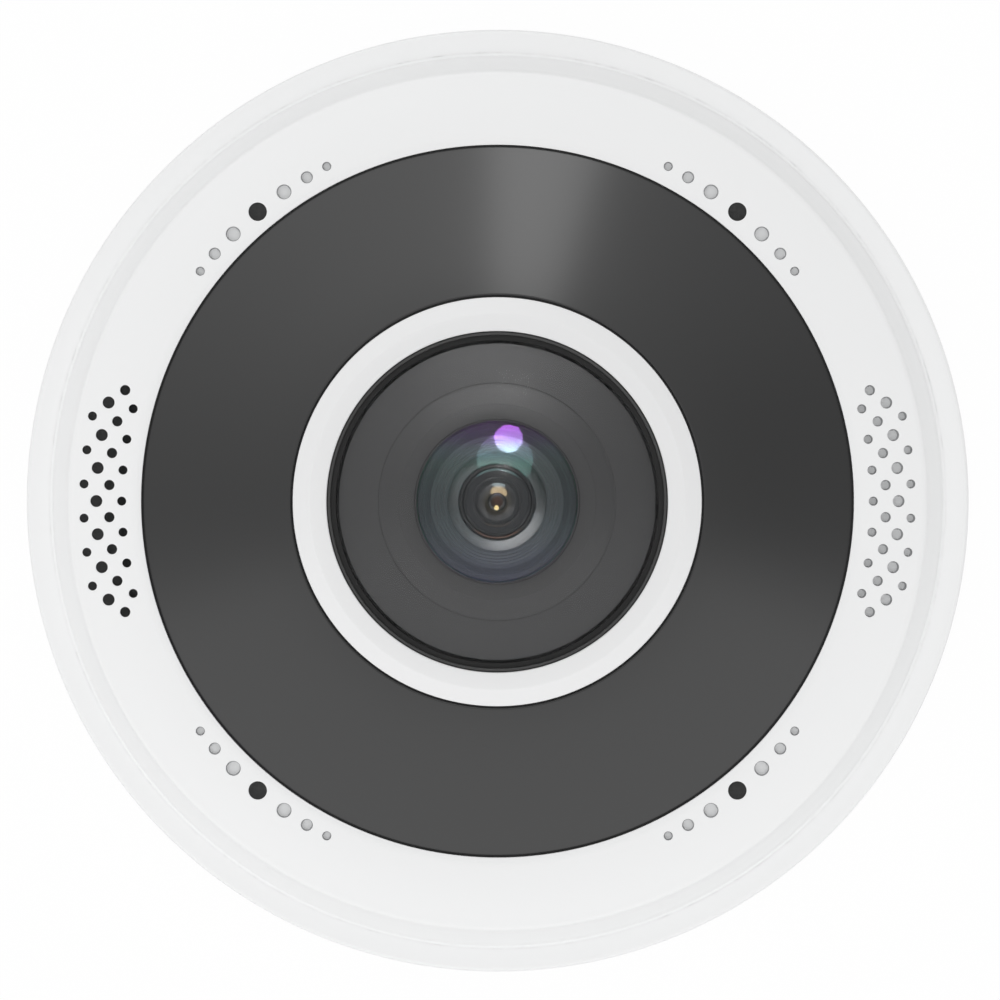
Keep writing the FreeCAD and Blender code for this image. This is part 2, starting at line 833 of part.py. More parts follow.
cover_screws = Piece("cover_screws")
head_top = bulkhead_under + s.cover_screw_head_height
cover_screws.pad(circles(cover_screw_places, s.cover_screw_head), bulkhead_under, head_top)
cover_screws.pad(circles(cover_screw_places, s.cover_screw_radius - s.fit_clearance),
                 head_top, bulkhead_top + s.cover_screw_length - through)
cover_screws.cut([
    outline([(x + s.cover_screw_head / 2 * cosine(60 * k),
              y + s.cover_screw_head / 2 * sine(60 * k)) for k in range(6)])
    for x, y in cover_screw_places
], bulkhead_under - through, bulkhead_under + s.cover_screw_head_height / 2)

# Conical window, bezel, seal and dome

window = Piece("ir_window")
window_edge_inside = window_radius - s.window_thickness
window.turn([
    (window_edge_inside, ledge_top),
    (window_radius, ledge_top),
    (window_radius, window_edge_top),
    (window_bore, window_top),
    (window_bore, window_underside(window_bore)),
    (window_edge_inside, window_underside(window_edge_inside)),
])

bezel = Piece("bezel_ring")
bezel_top = bezel_seat + s.bezel_flange
bezel_inside = flange_radius + s.dome_seal_gap
bezel.turn([
    (bezel_inside, shoulder_top),
    (bezel_radius, shoulder_top),
    (bezel_radius, bezel_top - s.bezel_inner_rise - s.bezel_outer_rise),
    (bezel_radius - s.bezel_outer_zone, bezel_top - s.bezel_inner_rise),
    (bezel_bore, bezel_top),
    (bezel_bore, bezel_seat),
    (bezel_inside, bezel_seat),
])

dome_seal = Piece("dome_seal")
seal_inside = s.dome_radius + s.dome_seal_gap
lip_radius = seal_inside + s.dome_seal_lip
lip_top = bezel_top - s.bezel_inner_rise
dome_seal.turn([
    (seal_inside, flange_top),
    (flange_radius, flange_top),
    (flange_radius, bezel_seat),
    (bezel_bore - s.dome_seal_gap, bezel_seat),
    (bezel_bore - s.dome_seal_gap, lip_top),
    (lip_radius, lip_top - s.dome_seal_gap),
    (lip_radius, lip_top - s.dome_seal_thickness),
    (seal_inside, lip_top - s.dome_seal_thickness),
])

dome = Piece("dome_cover")
dome_outer = cap_radius(s.dome_radius, s.dome_rise)
dome_inner_radius = s.dome_radius - s.dome_wall
dome_inner = cap_radius(dome_inner_radius, s.dome_rise - s.dome_wall)
dome.turn([
    (dome_inner_radius, carrier_top),
    (flange_radius, carrier_top),
    (flange_radius, flange_top),
    (s.dome_radius, flange_top),
    (s.dome_radius, dome_spring, dome_outer),
    (0, dome_top),
    (0, dome_top - s.dome_wall, -dome_inner),
    (dome_inner_radius, dome_spring),
])

# Dome carrier: a tube on the chassis with a collar under the window

carrier = Piece("dome_carrier")
collar_radius = carrier_radius + s.carrier_collar
collar_top = window_underside(collar_radius) - s.fit_clearance * 2
collar_high = window_underside(bezel_radius) - s.fit_clearance * 2
foot_top = chassis_top + s.carrier_foot_height
carrier.turn([
    (carrier_inside, chassis_top),
    (carrier_radius + s.carrier_foot, chassis_top),
    (carrier_radius + s.carrier_foot, foot_top),
    (carrier_radius, foot_top),
    (carrier_radius, collar_top - s.carrier_collar_height),
    (collar_radius, collar_top - s.carrier_collar_height),
    (collar_radius, collar_top),
    (bezel_radius, collar_high),
    (bezel_radius, shoulder_top),
    (bezel_inside, shoulder_top),
    (bezel_inside, carrier_top),
    (carrier_bore, carrier_top),
    (carrier_bore, carrier_top - s.carrier_top_height),
    (carrier_inside, carrier_top - s.carrier_top_height),
])

hood = Piece("inner_hood")
hood_foot_top = carrier_top + s.hood_foot_height
hood_bore = s.lens_radius + s.hood_gap


def hood_level(radius):
    return hood_foot_top + (hood_radius - radius) * s.hood_slope


inner_ring_in = hood_bore + s.hood_inner_land
inner_ring = inner_ring_in + s.hood_inner_ring_width
outer_ring_in = inner_ring + s.hood_middle_land
outer_ring = outer_ring_in + s.hood_outer_ring_width
hood.turn([
    (carrier_bore + s.fit_clearance, carrier_top),
    (hood_radius, carrier_top),
    (hood_radius, hood_foot_top),
    (outer_ring, hood_level(outer_ring)),
    (outer_ring, hood_level(outer_ring) - s.hood_groove),
    (outer_ring_in, hood_level(outer_ring_in) - s.hood_groove),
    (outer_ring_in, hood_level(outer_ring_in)),
    (inner_ring, hood_level(inner_ring)),
    (inner_ring, hood_level(inner_ring) - s.hood_groove),
    (inner_ring_in, hood_level(inner_ring_in) - s.hood_groove),
    (inner_ring_in, hood_level(inner_ring_in)),
    (hood_bore, hood_level(hood_bore)),
    (hood_bore, hood_level(hood_bore) - s.hood_wall),
    (hood_radius - s.hood_wall, carrier_top + s.hood_wall),
    (carrier_bore + s.fit_clearance, carrier_top + s.hood_wall),
])

# Boards, chips and the chassis plate between them

main_board = Piece("main_board")
main_board.pad([circle(0, 0, board_radius)], board_under, board_top)
main_board.cut(circles(post_places, s.chassis_screw_radius + s.fit_clearance),
               board_under - through, board_top + through)

processor = Piece("main_processor")
chip_half = s.processor_size / 2
processor.pad([box(-chip_half, -chip_half, chip_half, chip_half)], board_top, pad_under)

thermal_pad = Piece("thermal_pad")
thermal_pad.pad([box(-chip_half, -chip_half, chip_half, chip_half)], pad_under, chassis_under)

memory = Piece("memory_chips")
memory.pad([
    box(side * s.memory_offset - s.memory_width / 2, -s.memory_length / 2,
        side * s.memory_offset + s.memory_width / 2, s.memory_length / 2)
    for side in (-1, 1)
], board_top, board_top + s.memory_height)

chassis = Piece("chassis_plate")
connector_low = s.connector_y - s.connector_half_depth
connector_high = s.connector_y + s.connector_half_depth
sensor_screw_place = s.holder_half_width + s.sensor_head_gap + s.sensor_screw_head
sensor_screw_places = [(side_x * sensor_screw_place, side_y * sensor_screw_place)
                       for side_x in (-1, 1) for side_y in (-1, 1)]
chassis.pad([circle(0, 0, chassis_radius)], chassis_under, chassis_top)
chassis.pad(circles(post_places, s.post_radius), board_top, chassis_under)
chassis.pad(circles(sensor_screw_places, s.sensor_boss_radius), chassis_top, sensor_board_under)
chassis.cut(circles(post_places, s.chassis_screw_radius + s.fit_clearance),
            board_top - through, chassis_top + through)
chassis.cut([box(-s.connector_half_width - s.cutout_gap, connector_low - s.cutout_gap,
                 s.connector_half_width + s.cutout_gap, connector_high + s.cutout_gap)]
            + circles(sensor_screw_places, s.sensor_screw_radius),
            chassis_under - through, sensor_board_under + through)

chassis_screws = Piece("chassis_screws")
chassis_head_top = chassis_top + s.chassis_screw_head_height
chassis_screws.pad(circles(post_places, s.chassis_screw_head), chassis_top, chassis_head_top)
chassis_screws.pad(circles(post_places, s.chassis_screw_radius - s.fit_clearance),
                   board_under - s.chassis_screw_length + through, chassis_top)

led_inner = carrier_radius + s.carrier_foot + s.led_board_gap
led_board = Piece("led_board")
led_board_top = chassis_top + s.led_board_thickness
led_board.pad([circle(0, 0, chassis_radius - s.led_board_margin), circle(0, 0, led_inner)],
              chassis_top, led_board_top)
led_board.cut(circles(post_places, s.chassis_screw_head + s.led_board_gap),
              chassis_top - through, led_board_top + through)

led_angles = [30 + 60 * index for index in range(6)]
led_circle = led_inner + s.led_inset
led_places = ring_places(led_circle, led_angles)
leds = Piece("ir_leds")
led_base_top = led_board_top + s.led_base_height
leds.pad([box(x - s.led_size / 2, y - s.led_size / 2, x + s.led_size / 2, y + s.led_size / 2)
          for x, y in led_places], led_board_top, led_base_top)
leds.pad(circles(led_places, s.led_lens_radius), led_base_top, led_base_top + s.led_lens_height)

light_sensor = Piece("light_sensor")
light_half = s.light_sensor_size / 2
light_x, light_y = polar(led_circle, 60)
light_sensor.pad([box(light_x - light_half, light_y - light_half,
                      light_x + light_half, light_y + light_half)],
                 led_board_top, led_board_top + s.light_sensor_height)

connector = Piece("board_connector")
connector.pad([box(-s.connector_half_width, connector_low, s.connector_half_width, connector_high)],
              board_top, sensor_board_under)

sensor_board = Piece("sensor_board")
sensor_board_half = sensor_screw_place + s.sensor_board_edge
sensor_board.pad([box(-sensor_board_half, -sensor_board_half,
                      sensor_board_half, sensor_board_half)],
                 sensor_board_under, sensor_board_top)
sensor_board.cut(circles(sensor_screw_places, s.sensor_screw_radius + s.fit_clearance),
                 sensor_board_under - through, sensor_board_top + through)

sensor_screws = Piece("sensor_board_screws")
sensor_screws.pad(circles(sensor_screw_places, s.sensor_screw_head),
                  sensor_board_top, sensor_board_top + s.sensor_screw_head_height)
sensor_screws.pad(circles(sensor_screw_places, s.sensor_screw_radius - s.fit_clearance),
                  chassis_under, sensor_board_top)

image_sensor = Piece("image_sensor")
image_sensor.pad([box(-s.sensor_half_width, -s.sensor_half_depth,
                      s.sensor_half_width, s.sensor_half_depth)],
                 sensor_board_top, sensor_board_top + s.sensor_height)

# Lens holder with the filter switch inside it

holder_box = box(-s.holder_half_width, -s.holder_front, s.holder_half_width, s.holder_back)
chamber_box = box(-s.holder_half_width + s.holder_wall, -s.holder_front + s.holder_wall,
                  s.holder_half_width - s.holder_wall, s.holder_back - s.holder_wall)
window_box = box(-s.filter_half, -s.filter_half, s.filter_half, s.filter_half)

filter_base = Piece("filter_base")
filter_base.pad([holder_box], sensor_board_top, chamber_floor)
filter_base.cut([chamber_box], sensor_board_top - through, chamber_floor - s.holder_floor)
filter_base.cut([window_box], sensor_board_top, chamber_floor + through)
filter_base.pad([circle(0, s.lever_pivot, s.pivot_pin_radius)],
                chamber_floor - s.holder_floor, chamber_top - s.lever_gap)

holder = Piece("lens_holder")
holder.pad([holder_box], chamber_floor, holder_top)
holder.pad([circle(0, 0, s.lens_thread_radius + s.holder_neck_wall)], holder_top, neck_top)
holder.cut([chamber_box], chamber_floor - through, chamber_top)
holder.cut([circle(0, 0, s.lens_thread_radius + s.fit_clearance)], chamber_top - through,
           neck_top + through)

carriage_bottom = chamber_floor + s.carriage_lift
carriage_top = carriage_bottom + s.carriage_thickness
pane_places = [0, -s.filter_pitch]
carriage_left = -s.filter_pitch - s.filter_half - s.carriage_frame
carriage_right = s.filter_half + s.carriage_frame
carriage_middle = -s.filter_pitch / 2
tab_half = s.lever_pin_radius * 4
tab_back = s.carriage_half_depth + s.carriage_tab
slot_side = s.lever_pin_radius + s.lever_pin_clearance
pin_rest_y = s.lever_pivot - s.lever_reach * cosine(s.lever_half_angle)
pin_far_y = s.lever_pivot - s.lever_reach

carriage = Piece("filter_carriage")
carriage.pad([outline([
    (carriage_left, -s.carriage_half_depth),
    (carriage_right, -s.carriage_half_depth),
    (carriage_right, s.carriage_half_depth),
    (carriage_middle + tab_half, s.carriage_half_depth),
    (carriage_middle + tab_half, tab_back),
    (carriage_middle - tab_half, tab_back),
    (carriage_middle - tab_half, s.carriage_half_depth),
    (carriage_left, s.carriage_half_depth),
])], carriage_bottom, carriage_top)
carriage.cut([box(x - s.filter_half, -s.filter_half, x + s.filter_half, s.filter_half)
              for x in pane_places]
             + [box(carriage_middle - slot_side, pin_far_y - slot_side,
                    carriage_middle + slot_side, pin_rest_y + slot_side)],
             carriage_bottom - through, carriage_top + through)

pane_half = s.filter_half - s.fit_clearance
for name, x in (("ir_cut_filter", pane_places[0]), ("clear_filter", pane_places[1])):
    pane = Piece(name)
    pane.pad([box(x - pane_half, -pane_half, x + pane_half, pane_half)],
             carriage_bottom + s.carriage_lift, carriage_bottom + s.carriage_lift + s.filter_thickness)

lever_bottom = carriage_top + s.lever_gap
lever_top = lever_bottom + s.lever_thickness
pin_x = -s.lever_reach * sine(s.lever_half_angle)
along_x = -sine(s.lever_half_angle)
along_y = -cosine(s.lever_half_angle)


def lever_point(out, side):
    """A point on the lever: out along its arm from the pivot, side across it."""
    return out * along_x - side * along_y, s.lever_pivot + out * along_y + side * along_x


lever = Piece("filter_lever")
lever.pad([outline([
    lever_point(0, -s.lever_half_width),
    lever_point(s.lever_reach, -s.lever_half_width),
    lever_point(s.lever_reach, s.lever_half_width),
    lever_point(0, s.lever_half_width),
])], lever_bottom, lever_top)
lever.pad([circle(0, s.lever_pivot, s.rotor_radius)], lever_bottom, lever_top)
lever.pad([circle(pin_x, pin_rest_y, s.lever_pin_radius)], carriage_bottom, lever_top)
lever.cut([circle(0, s.lever_pivot, s.pivot_pin_radius + s.fit_clearance)],
          lever_bottom - through, lever_top + through)

rotor = Piece("filter_magnet")
rotor.pad([circle(0, s.lever_pivot, s.rotor_radius),
           circle(0, s.lever_pivot, s.pivot_pin_radius + s.fit_clearance)],
          lever_top, chamber_top - s.lever_gap)

coil = Piece("filter_coil")
for side in (-1, 1):
    inner = s.rotor_radius + s.coil_gap
    near = side * inner
    far = side * (inner + s.coil_width)
    left, right = (far, near) if side < 0 else (near, far)
    coil.pad([box(left, s.lever_pivot - s.coil_depth / 2, right, s.lever_pivot + s.coil_depth / 2)],
             lever_bottom, chamber_top)

# Fisheye lens, from its rear end to the front ring

lens_rear = chamber_top
baffle_bottom = element_seat - s.baffle_height
second_seat = baffle_bottom - s.second_ring_height
stop_bottom = second_seat - s.stop_thickness
second_bore = s.baffle_inner_radius + s.fit_clearance

barrel = Piece("lens_barrel")
barrel.turn([
    (s.lens_bore_radius, lens_rear),
    (s.lens_thread_radius, lens_rear),
    (s.lens_thread_radius, lens_collar),
    (s.lens_radius, lens_collar),
    (s.lens_radius, lens_top),
    (front_element_radius + s.fit_clearance, lens_top),
    (front_element_radius + s.fit_clearance, baffle_bottom),
    (second_bore, baffle_bottom),
    (second_bore, stop_bottom),
    (s.lens_bore_radius, stop_bottom),
])

front_ring = Piece("lens_front_ring")
front_ring.turn([
    (s.lens_radius - s.lens_ring_width, lens_top),
    (s.lens_radius, lens_top),
    (s.lens_radius, lens_top + s.lens_ring_height / 2),
    (s.lens_radius - s.lens_ring_height / 2, lens_top + s.lens_ring_height),
    (s.lens_radius - s.lens_ring_width, lens_top + s.lens_ring_height / 2),
])

front_element = Piece("lens_front_element")
element_edge_top = element_seat + s.front_element_edge
element_top = element_edge_top + s.front_element_rise
hollow_rise = element_top - s.front_element_centre - element_seat
hollow_radius = front_element_radius - s.front_element_land
front_element.turn([
    (hollow_radius, element_seat),
    (front_element_radius, element_seat),
    (front_element_radius, element_edge_top, cap_radius(front_element_radius, s.front_element_rise)),
    (0, element_top),
    (0, element_top - s.front_element_centre, -cap_radius(hollow_radius, hollow_rise)),
])

# Light trap under the front element: a funnel of small steps

baffle = Piece("lens_baffle")
step_count = 9
step_run = (front_element_radius - s.baffle_inner_radius) / step_count
step_fall = (s.baffle_height - s.baffle_floor) / step_count
steps = []
for index in range(step_count):
    radius = front_element_radius - step_run * index
    level = element_seat - step_fall * index
    steps.append((radius, level))
    steps.append((radius - step_run, level))
baffle.turn([(s.baffle_inner_radius, baffle_bottom), (front_element_radius, baffle_bottom)] + steps)

second_radius = s.baffle_inner_radius - s.second_ring_width
second_ring = Piece("lens_second_ring")
second_ring.turn([
    (second_radius, second_seat),
    (s.baffle_inner_radius, second_seat),
    (s.baffle_inner_radius, baffle_bottom - s.second_ring_height / 4),
    (second_radius, baffle_bottom),
])

second_element = Piece("lens_second_element")
second_half = second_radius - s.fit_clearance
second_element.turn([
    (0, second_seat),
    (second_half, second_seat),
    (second_half, second_seat + s.second_element_edge, cap_radius(second_half, s.second_element_rise)),
    (0, second_seat + s.second_element_edge + s.second_element_rise),
])

stop = Piece("lens_stop")
stop.pad([circle(0, 0, s.baffle_inner_radius), circle(0, 0, s.stop_hole_radius)],
         stop_bottom, second_seat)

rear_element = Piece("lens_rear_element")
rear_half = s.lens_bore_radius - s.fit_clearance
rear_seat = lens_rear + s.rear_element_inset
rear_element.turn([
    (0, rear_seat),
    (rear_half, rear_seat),
    (rear_half, rear_seat + s.rear_element_edge, cap_radius(rear_half, s.rear_element_rise)),
    (0, rear_seat + s.rear_element_edge + s.rear_element_rise),
])

# Speaker: mesh and gasket under the grille, then the driver

speaker_x = s.speaker_half_width + s.speaker_rim - cavity_outer
gasket_bottom = speaker_seat - s.speaker_gasket_thickness
frame_bottom = gasket_bottom - s.speaker_plate_thickness
basket_bottom = frame_bottom - s.speaker_basket_depth + s.speaker_plate_thickness
gasket_outer = face_inside + s.fit_clearance * 4
inner_length = s.speaker_half_length - s.speaker_basket_wall
inner_width = s.speaker_half_width - s.speaker_basket_wall

speaker_mesh = Piece("speaker_mesh")
speaker_mesh.pad([sector(cavity_inner + s.fit_clearance, cavity_outer - s.fit_clearance, 180,
                         cavity_half - s.fit_clearance)],
                 speaker_roof - s.speaker_mesh_thickness, speaker_roof)

gasket = Piece("speaker_gasket")
gasket.pad([sector(box_inner, gasket_outer, 180, s.speaker_half_angle)], gasket_bottom, speaker_seat)
gasket.cut([racetrack(speaker_x, s.speaker_half_length, s.speaker_half_width)],
           gasket_bottom - through, speaker_seat + through)

speaker_frame = Piece("speaker_frame")
speaker_frame.pad([sector(box_inner, gasket_outer, 180, s.speaker_half_angle)],
                  frame_bottom, gasket_bottom)
speaker_frame.pad([racetrack(speaker_x, s.speaker_half_length, s.speaker_half_width)],
                  basket_bottom, frame_bottom)
speaker_frame.cut([racetrack(speaker_x, inner_length, inner_width)],
                  basket_bottom + s.speaker_basket_wall, gasket_bottom + through)

cone_length = inner_length - s.speaker_surround_width - s.speaker_cone_gap
cone_width = inner_width - s.speaker_surround_width - s.speaker_cone_gap
cone_top = gasket_bottom - s.speaker_cone_drop
surround = Piece("speaker_surround")
surround.pad([racetrack(speaker_x, inner_length, inner_width)],
             cone_top - s.speaker_surround_thickness, cone_top)
surround.cut([racetrack(speaker_x, cone_length + s.speaker_cone_gap, cone_width + s.speaker_cone_gap)],
             cone_top - s.speaker_surround_thickness - through, cone_top + through)

cone = Piece("speaker_cone")
cone.pad([racetrack(speaker_x, cone_length, cone_width)],
         cone_top - s.speaker_cone_thickness, cone_top)

voice_length = cone_length - s.voice_coil_inset
voice_width = cone_width - s.voice_coil_inset
voice_top = cone_top - s.speaker_cone_thickness
voice_coil = Piece("voice_coil")
voice_coil.pad([racetrack(speaker_x, voice_length, voice_width)],
               voice_top - s.voice_coil_height, voice_top)
voice_coil.cut([racetrack(speaker_x, voice_length - s.voice_coil_wall, voice_width - s.voice_coil_wall)],
               voice_top - s.voice_coil_height - through, voice_top)

magnet = Piece("speaker_magnet")
magnet_length = voice_length - s.voice_coil_wall - s.magnet_inset
magnet_width = voice_width - s.voice_coil_wall - s.magnet_inset
magnet_bottom = basket_bottom + s.speaker_basket_wall
magnet.pad([racetrack(speaker_x, magnet_length, magnet_width)],
           magnet_bottom, voice_top - s.speaker_cone_thickness)

# Microphones: a mesh disc, a rubber boot and a capsule behind each hole

mesh_bottom = mic_pocket_top - s.mic_mesh_thickness
boot_bottom = mesh_bottom - s.mic_boot_height
capsule_radius = s.mic_boot_radius - s.mic_boot_wall
mic_meshes = Piece("mic_meshes")
mic_meshes.pad(circles(mic_places, s.mic_mesh_radius), mesh_bottom, mic_pocket_top)

mic_boots = Piece("mic_boots")
mic_boots.pad(circles(mic_places, s.mic_boot_radius), boot_bottom, mesh_bottom)
mic_boots.cut(circles(mic_places, capsule_radius), boot_bottom - through,
              mesh_bottom - s.mic_boot_wall)
mic_boots.cut(circles(mic_places, s.mic_hole), mesh_bottom - s.mic_boot_wall - through,
              mesh_bottom + through)

mic_capsules = Piece("mic_capsules")
capsule_top = mesh_bottom - s.mic_boot_wall
mic_capsules.pad(circles(mic_places, capsule_radius - s.fit_clearance),
                 capsule_top - s.mic_capsule_height, capsule_top)

# Connections on the back, all hanging from the main board

jack_face = board_under - s.jack_height
jack = Piece("ethernet_jack")
jack.pad([box(-s.jack_half_width, s.jack_front, s.jack_half_width, s.jack_back)],
         jack_face, board_under)
jack.cut([outline([
    (-s.jack_mouth_half, s.jack_mouth_front),
    (s.jack_mouth_half, s.jack_mouth_front),
    (s.jack_mouth_half, s.jack_mouth_back),
    (s.jack_tab_half, s.jack_mouth_back),
    (s.jack_tab_half, s.jack_tab_back),
    (-s.jack_tab_half, s.jack_tab_back),
    (-s.jack_tab_half, s.jack_mouth_back),
    (-s.jack_mouth_half, s.jack_mouth_back),
])], jack_face - through, jack_face + s.jack_mouth_depth)

terminal = Piece("power_terminal")
terminal_face = board_under - s.terminal_height
terminal_middle = (s.terminal_front + s.terminal_back) / 2
terminal.pad([box(-s.terminal_half_width, s.terminal_front, s.terminal_half_width, s.terminal_back)],
             terminal_face, board_under)
terminal.cut([circle(side * s.terminal_half_width / 2, terminal_middle, s.terminal_hole)
              for side in (-1, 1)], terminal_face - through, terminal_face + s.terminal_hole_depth)

card_face = board_under - s.card_height
card_middle = (s.card_left + s.card_right) / 2
card = Piece("card_socket")
card.pad([box(s.card_left, s.card_front, s.card_right, s.card_back)], card_face, board_under)
card.cut([box(card_middle - s.card_slot_half, s.card_front + s.card_slot_end,
              card_middle + s.card_slot_half, s.card_back - s.card_slot_end)],
         card_face - through, card_face + s.card_slot_depth)

button_top = bulkhead_top + s.reset_top
button_flange = bulkhead_top + s.reset_clearance
button = Piece("reset_button")
button.pad([circle(s.reset_x, s.reset_y, s.reset_radius)],
           bulkhead_under + s.reset_sink, button_top)
button.pad([circle(s.reset_x, s.reset_y, s.reset_flange_radius)],
           button_flange, button_flange + s.reset_flange_height)

switch = Piece("reset_switch")
switch.pad([box(s.reset_x - s.switch_half, s.reset_y - s.switch_half,
                s.reset_x + s.switch_half, s.reset_y + s.switch_half)],
           button_top + s.reset_gap, board_under)

transformer = Piece("ethernet_transformer")
transformer.pad([box(s.transformer_x - s.transformer_half_width, -s.transformer_half_length,
                     s.transformer_x + s.transformer_half_width, s.transformer_half_length)],
                board_under - s.transformer_height, board_under)

capacitors = Piece("power_capacitors")
capacitors.pad(circles(ring_places(s.capacitor_circle, [250, 265, 280]), s.capacitor_radius),
               board_under - s.capacitor_height, board_under)

# Everything is worked out and looked over before any file is written

doc.recompute()
faults = []
for item in doc.Objects:
    if "Invalid" in item.State or "Error" in item.State:
        faults.append(f"{item.Label}: {item.State}")
    if item.TypeId == "PartDesign::Pocket":
        if item.BaseFeature.Shape.Volume - item.Shape.Volume < 1e-6:
            faults.append(f"{item.Label}: cuts nothing")
for piece in pieces:
    shape = piece.body.Shape
    if shape.isNull() or not shape.isValid() or not shape.Solids:
        faults.append(f"{piece.name}: no valid shape")
if faults:
    raise RuntimeError("; ".join(faults))

for piece in pieces:
    piece.body.Shape.exportStep(f"parts/{piece.body.Label}.step")
print(len(pieces), "sub-parts written")
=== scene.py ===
"""Looks of a ceiling fisheye camera: casings, window, bezel, dome, lens, finishes and studio."""
import math
import bpy
from mathutils import Matrix, Vector


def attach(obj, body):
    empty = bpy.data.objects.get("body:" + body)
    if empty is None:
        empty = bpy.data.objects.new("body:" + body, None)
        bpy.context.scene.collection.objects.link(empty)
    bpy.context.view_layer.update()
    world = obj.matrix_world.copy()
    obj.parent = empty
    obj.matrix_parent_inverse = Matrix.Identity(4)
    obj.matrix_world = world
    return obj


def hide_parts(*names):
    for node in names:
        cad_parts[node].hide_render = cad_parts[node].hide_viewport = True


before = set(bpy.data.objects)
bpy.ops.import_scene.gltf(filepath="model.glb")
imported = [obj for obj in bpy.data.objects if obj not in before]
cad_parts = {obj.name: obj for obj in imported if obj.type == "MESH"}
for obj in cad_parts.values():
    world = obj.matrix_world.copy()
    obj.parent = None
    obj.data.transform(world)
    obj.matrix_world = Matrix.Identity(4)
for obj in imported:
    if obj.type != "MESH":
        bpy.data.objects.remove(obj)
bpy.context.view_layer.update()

# Units and modelling settings

MM = 0.001
TURN_STEPS = 256
SMALL_TURN_STEPS = 32
FILLET_STEPS = 4
WELD = 2e-6
SMOOTH_ANGLE = math.radians(32)
THROUGH = 0.5

# Sizes of the casings, in millimetres and degrees

RIM_RADIUS = 72.5
RIM_TOP = 16.5
RIM_INSIDE = 68.8
REAR_GAP = 0.3
RECESS_RADIUS = 70.0
BULKHEAD_UNDER = 6.0
BULKHEAD_TOP = 8.5
COVER_RADIUS = 68.65
COVER_INSIDE = 66.45
COVER_BOTTOM = 9.2
FACE_RADIUS = 66.3
FACE_EDGE = 20.3
FACE_LOW = 21.3
FACE_HIGH = 23.3
FACE_CROWN = 0.25
COVER_BORE = 54.8
LEDGE_BORE = 52.4
LEDGE_TOP = 21.0
LEDGE_UNDER = 19.4
COVER_WALL = 2.2

# Screws, studs and posts as (radius, angles), and the openings behind the sockets

SCREWS = (61.0, (0, 120, 240))
STUDS = (55.0, (30, 150, 270))
POSTS = (41.97, (45, 135, 225, 315))
INLETS = [((-8.4, -3.5), (8.4, 12.5)), ((-5.4, -17.3), (5.4, -9.1)), ((-14.7, -2.3), (-11.3, 12.3))]
RESET_PLACE = (-12.6, -8.0)
RESET_HOLE = 1.5

# Rows of holes in the front cover, their places in steps of the pitch, and the speaker below

ROW_RADII = [57.8, 59.755, 61.71, 63.665]
ROW_STEPS = [
    [-3, -2, -1, 0, 1, 2, 3],
    [-3.5, -2.5, -1.5, -0.5, 0.5, 1.5, 2.5, 3.5],
    [-3, -2, -1, 0, 1, 2, 3],
    [-2.5, -1.5, -0.5, 0.5, 1.5, 2.5],
]
ROW_HOLES = [0.7, 0.8, 0.93, 0.7]
HOLE_PITCH = 4.74
GRILLE_ANGLE = 180
SPEAKER_BOX = (55.7, 65.565)
SPEAKER_CAVITY = (56.9, 64.415)
DIMPLE_DEPTH = 1.3
MIC_DIMPLE_DEPTH = 0.9
MIC_ANGLES = [50.35, 129.65, 230.35, 309.65]
MIC_HOLE = 1.43
MIC_DIMPLES = [(5.03, 1.15), (9.16, 0.93), (12.62, 0.7)]

# Window, bezel, dome and lens

WINDOW_RADIUS = 54.75
WINDOW_BORE = 31.6
WINDOW_EDGE = 22.8
WINDOW_TOP = 32.7
DOME_RADIUS = 24.6
DOME_SPRING = 34.0
DOME_TOP = 47.2
DOME_WALL = 0.6
HOOD_RADIUS = 24.3
FLANGE_RADIUS = 29.2
CARRIER_TOP = 31.6
FLANGE_TOP = 32.9
SEAL_TOP = 33.4
LENS_RADIUS = 12.6
GLASS_RADIUS = 12.4
TUBE_TOP = 38.75
GLASS_SEAT = 37.6
GLASS_EDGE = 38.9
GLASS_TOP = 43.2
BLACK_DISC = 5.9
STEPS_INNER = 7.6
STEPS_BOTTOM = 35.9
CELL_FLOOR = 34.4
CELL_TOP = 34.7
SHOULDER_TOP = 35.15


# Drawing and turning

def polar(radius, angle):
    """A point at a radius and an angle in degrees, in millimetres."""
    turn = math.radians(angle)
    return radius * math.cos(turn), radius * math.sin(turn)


def ring_of(radius, angles):
    """Points at a radius, one at each angle."""
    return [polar(radius, angle) for angle in angles]


def cap_radius(reach, rise):
    """Radius of the ball whose cap has this reach and this rise."""
    return (reach * reach + rise * rise) / (2 * rise)


def bow(start, end, radius, steps):
    """Points of an arc after its start. It bulges left, or right where the radius is negative."""
    begin, finish = Vector(start), Vector(end)
    chord = finish - begin
    half = chord.length / 2
    side = math.copysign(1, radius)
    depth = math.sqrt(max(radius * radius - half * half, 0))
    left = Vector((-chord.y, chord.x)) / chord.length
    centre = (begin + finish) / 2 - left * side * depth
    sweep = -side * 2 * math.asin(min(half / abs(radius), 1))
    arm = begin - centre
    points = []
    for step in range(1, steps + 1):
        turn = sweep * step / steps
        points.append((centre.x + arm.x * math.cos(turn) - arm.y * math.sin(turn),
                       centre.y + arm.x * math.sin(turn) + arm.y * math.cos(turn)))
    points[-1] = tuple(end)
    return points


def rounded(corners, closed=True):
    """The outline through corners (radius, height), some with the size of their round added."""
    points = []
    count = len(corners)
    for index, corner in enumerate(corners):
        here = Vector(corner[:2])
        inner = closed or 0 < index < count - 1
        if len(corner) == 2 or not inner:
            points.append(tuple(here))
            continue
        back = (Vector(corners[index - 1][:2]) - here).normalized()
        onward = (Vector(corners[(index + 1) % count][:2]) - here).normalized()
        half_turn = back.angle(onward) / 2
        reach = corner[2] / math.tan(half_turn)
        first, last = here + back * reach, here + onward * reach
        turns_left = back.x * onward.y - back.y * onward.x > 0
        points.append(tuple(first))
        points += bow(first, last, corner[2] if turns_left else -corner[2], FILLET_STEPS)
    return points


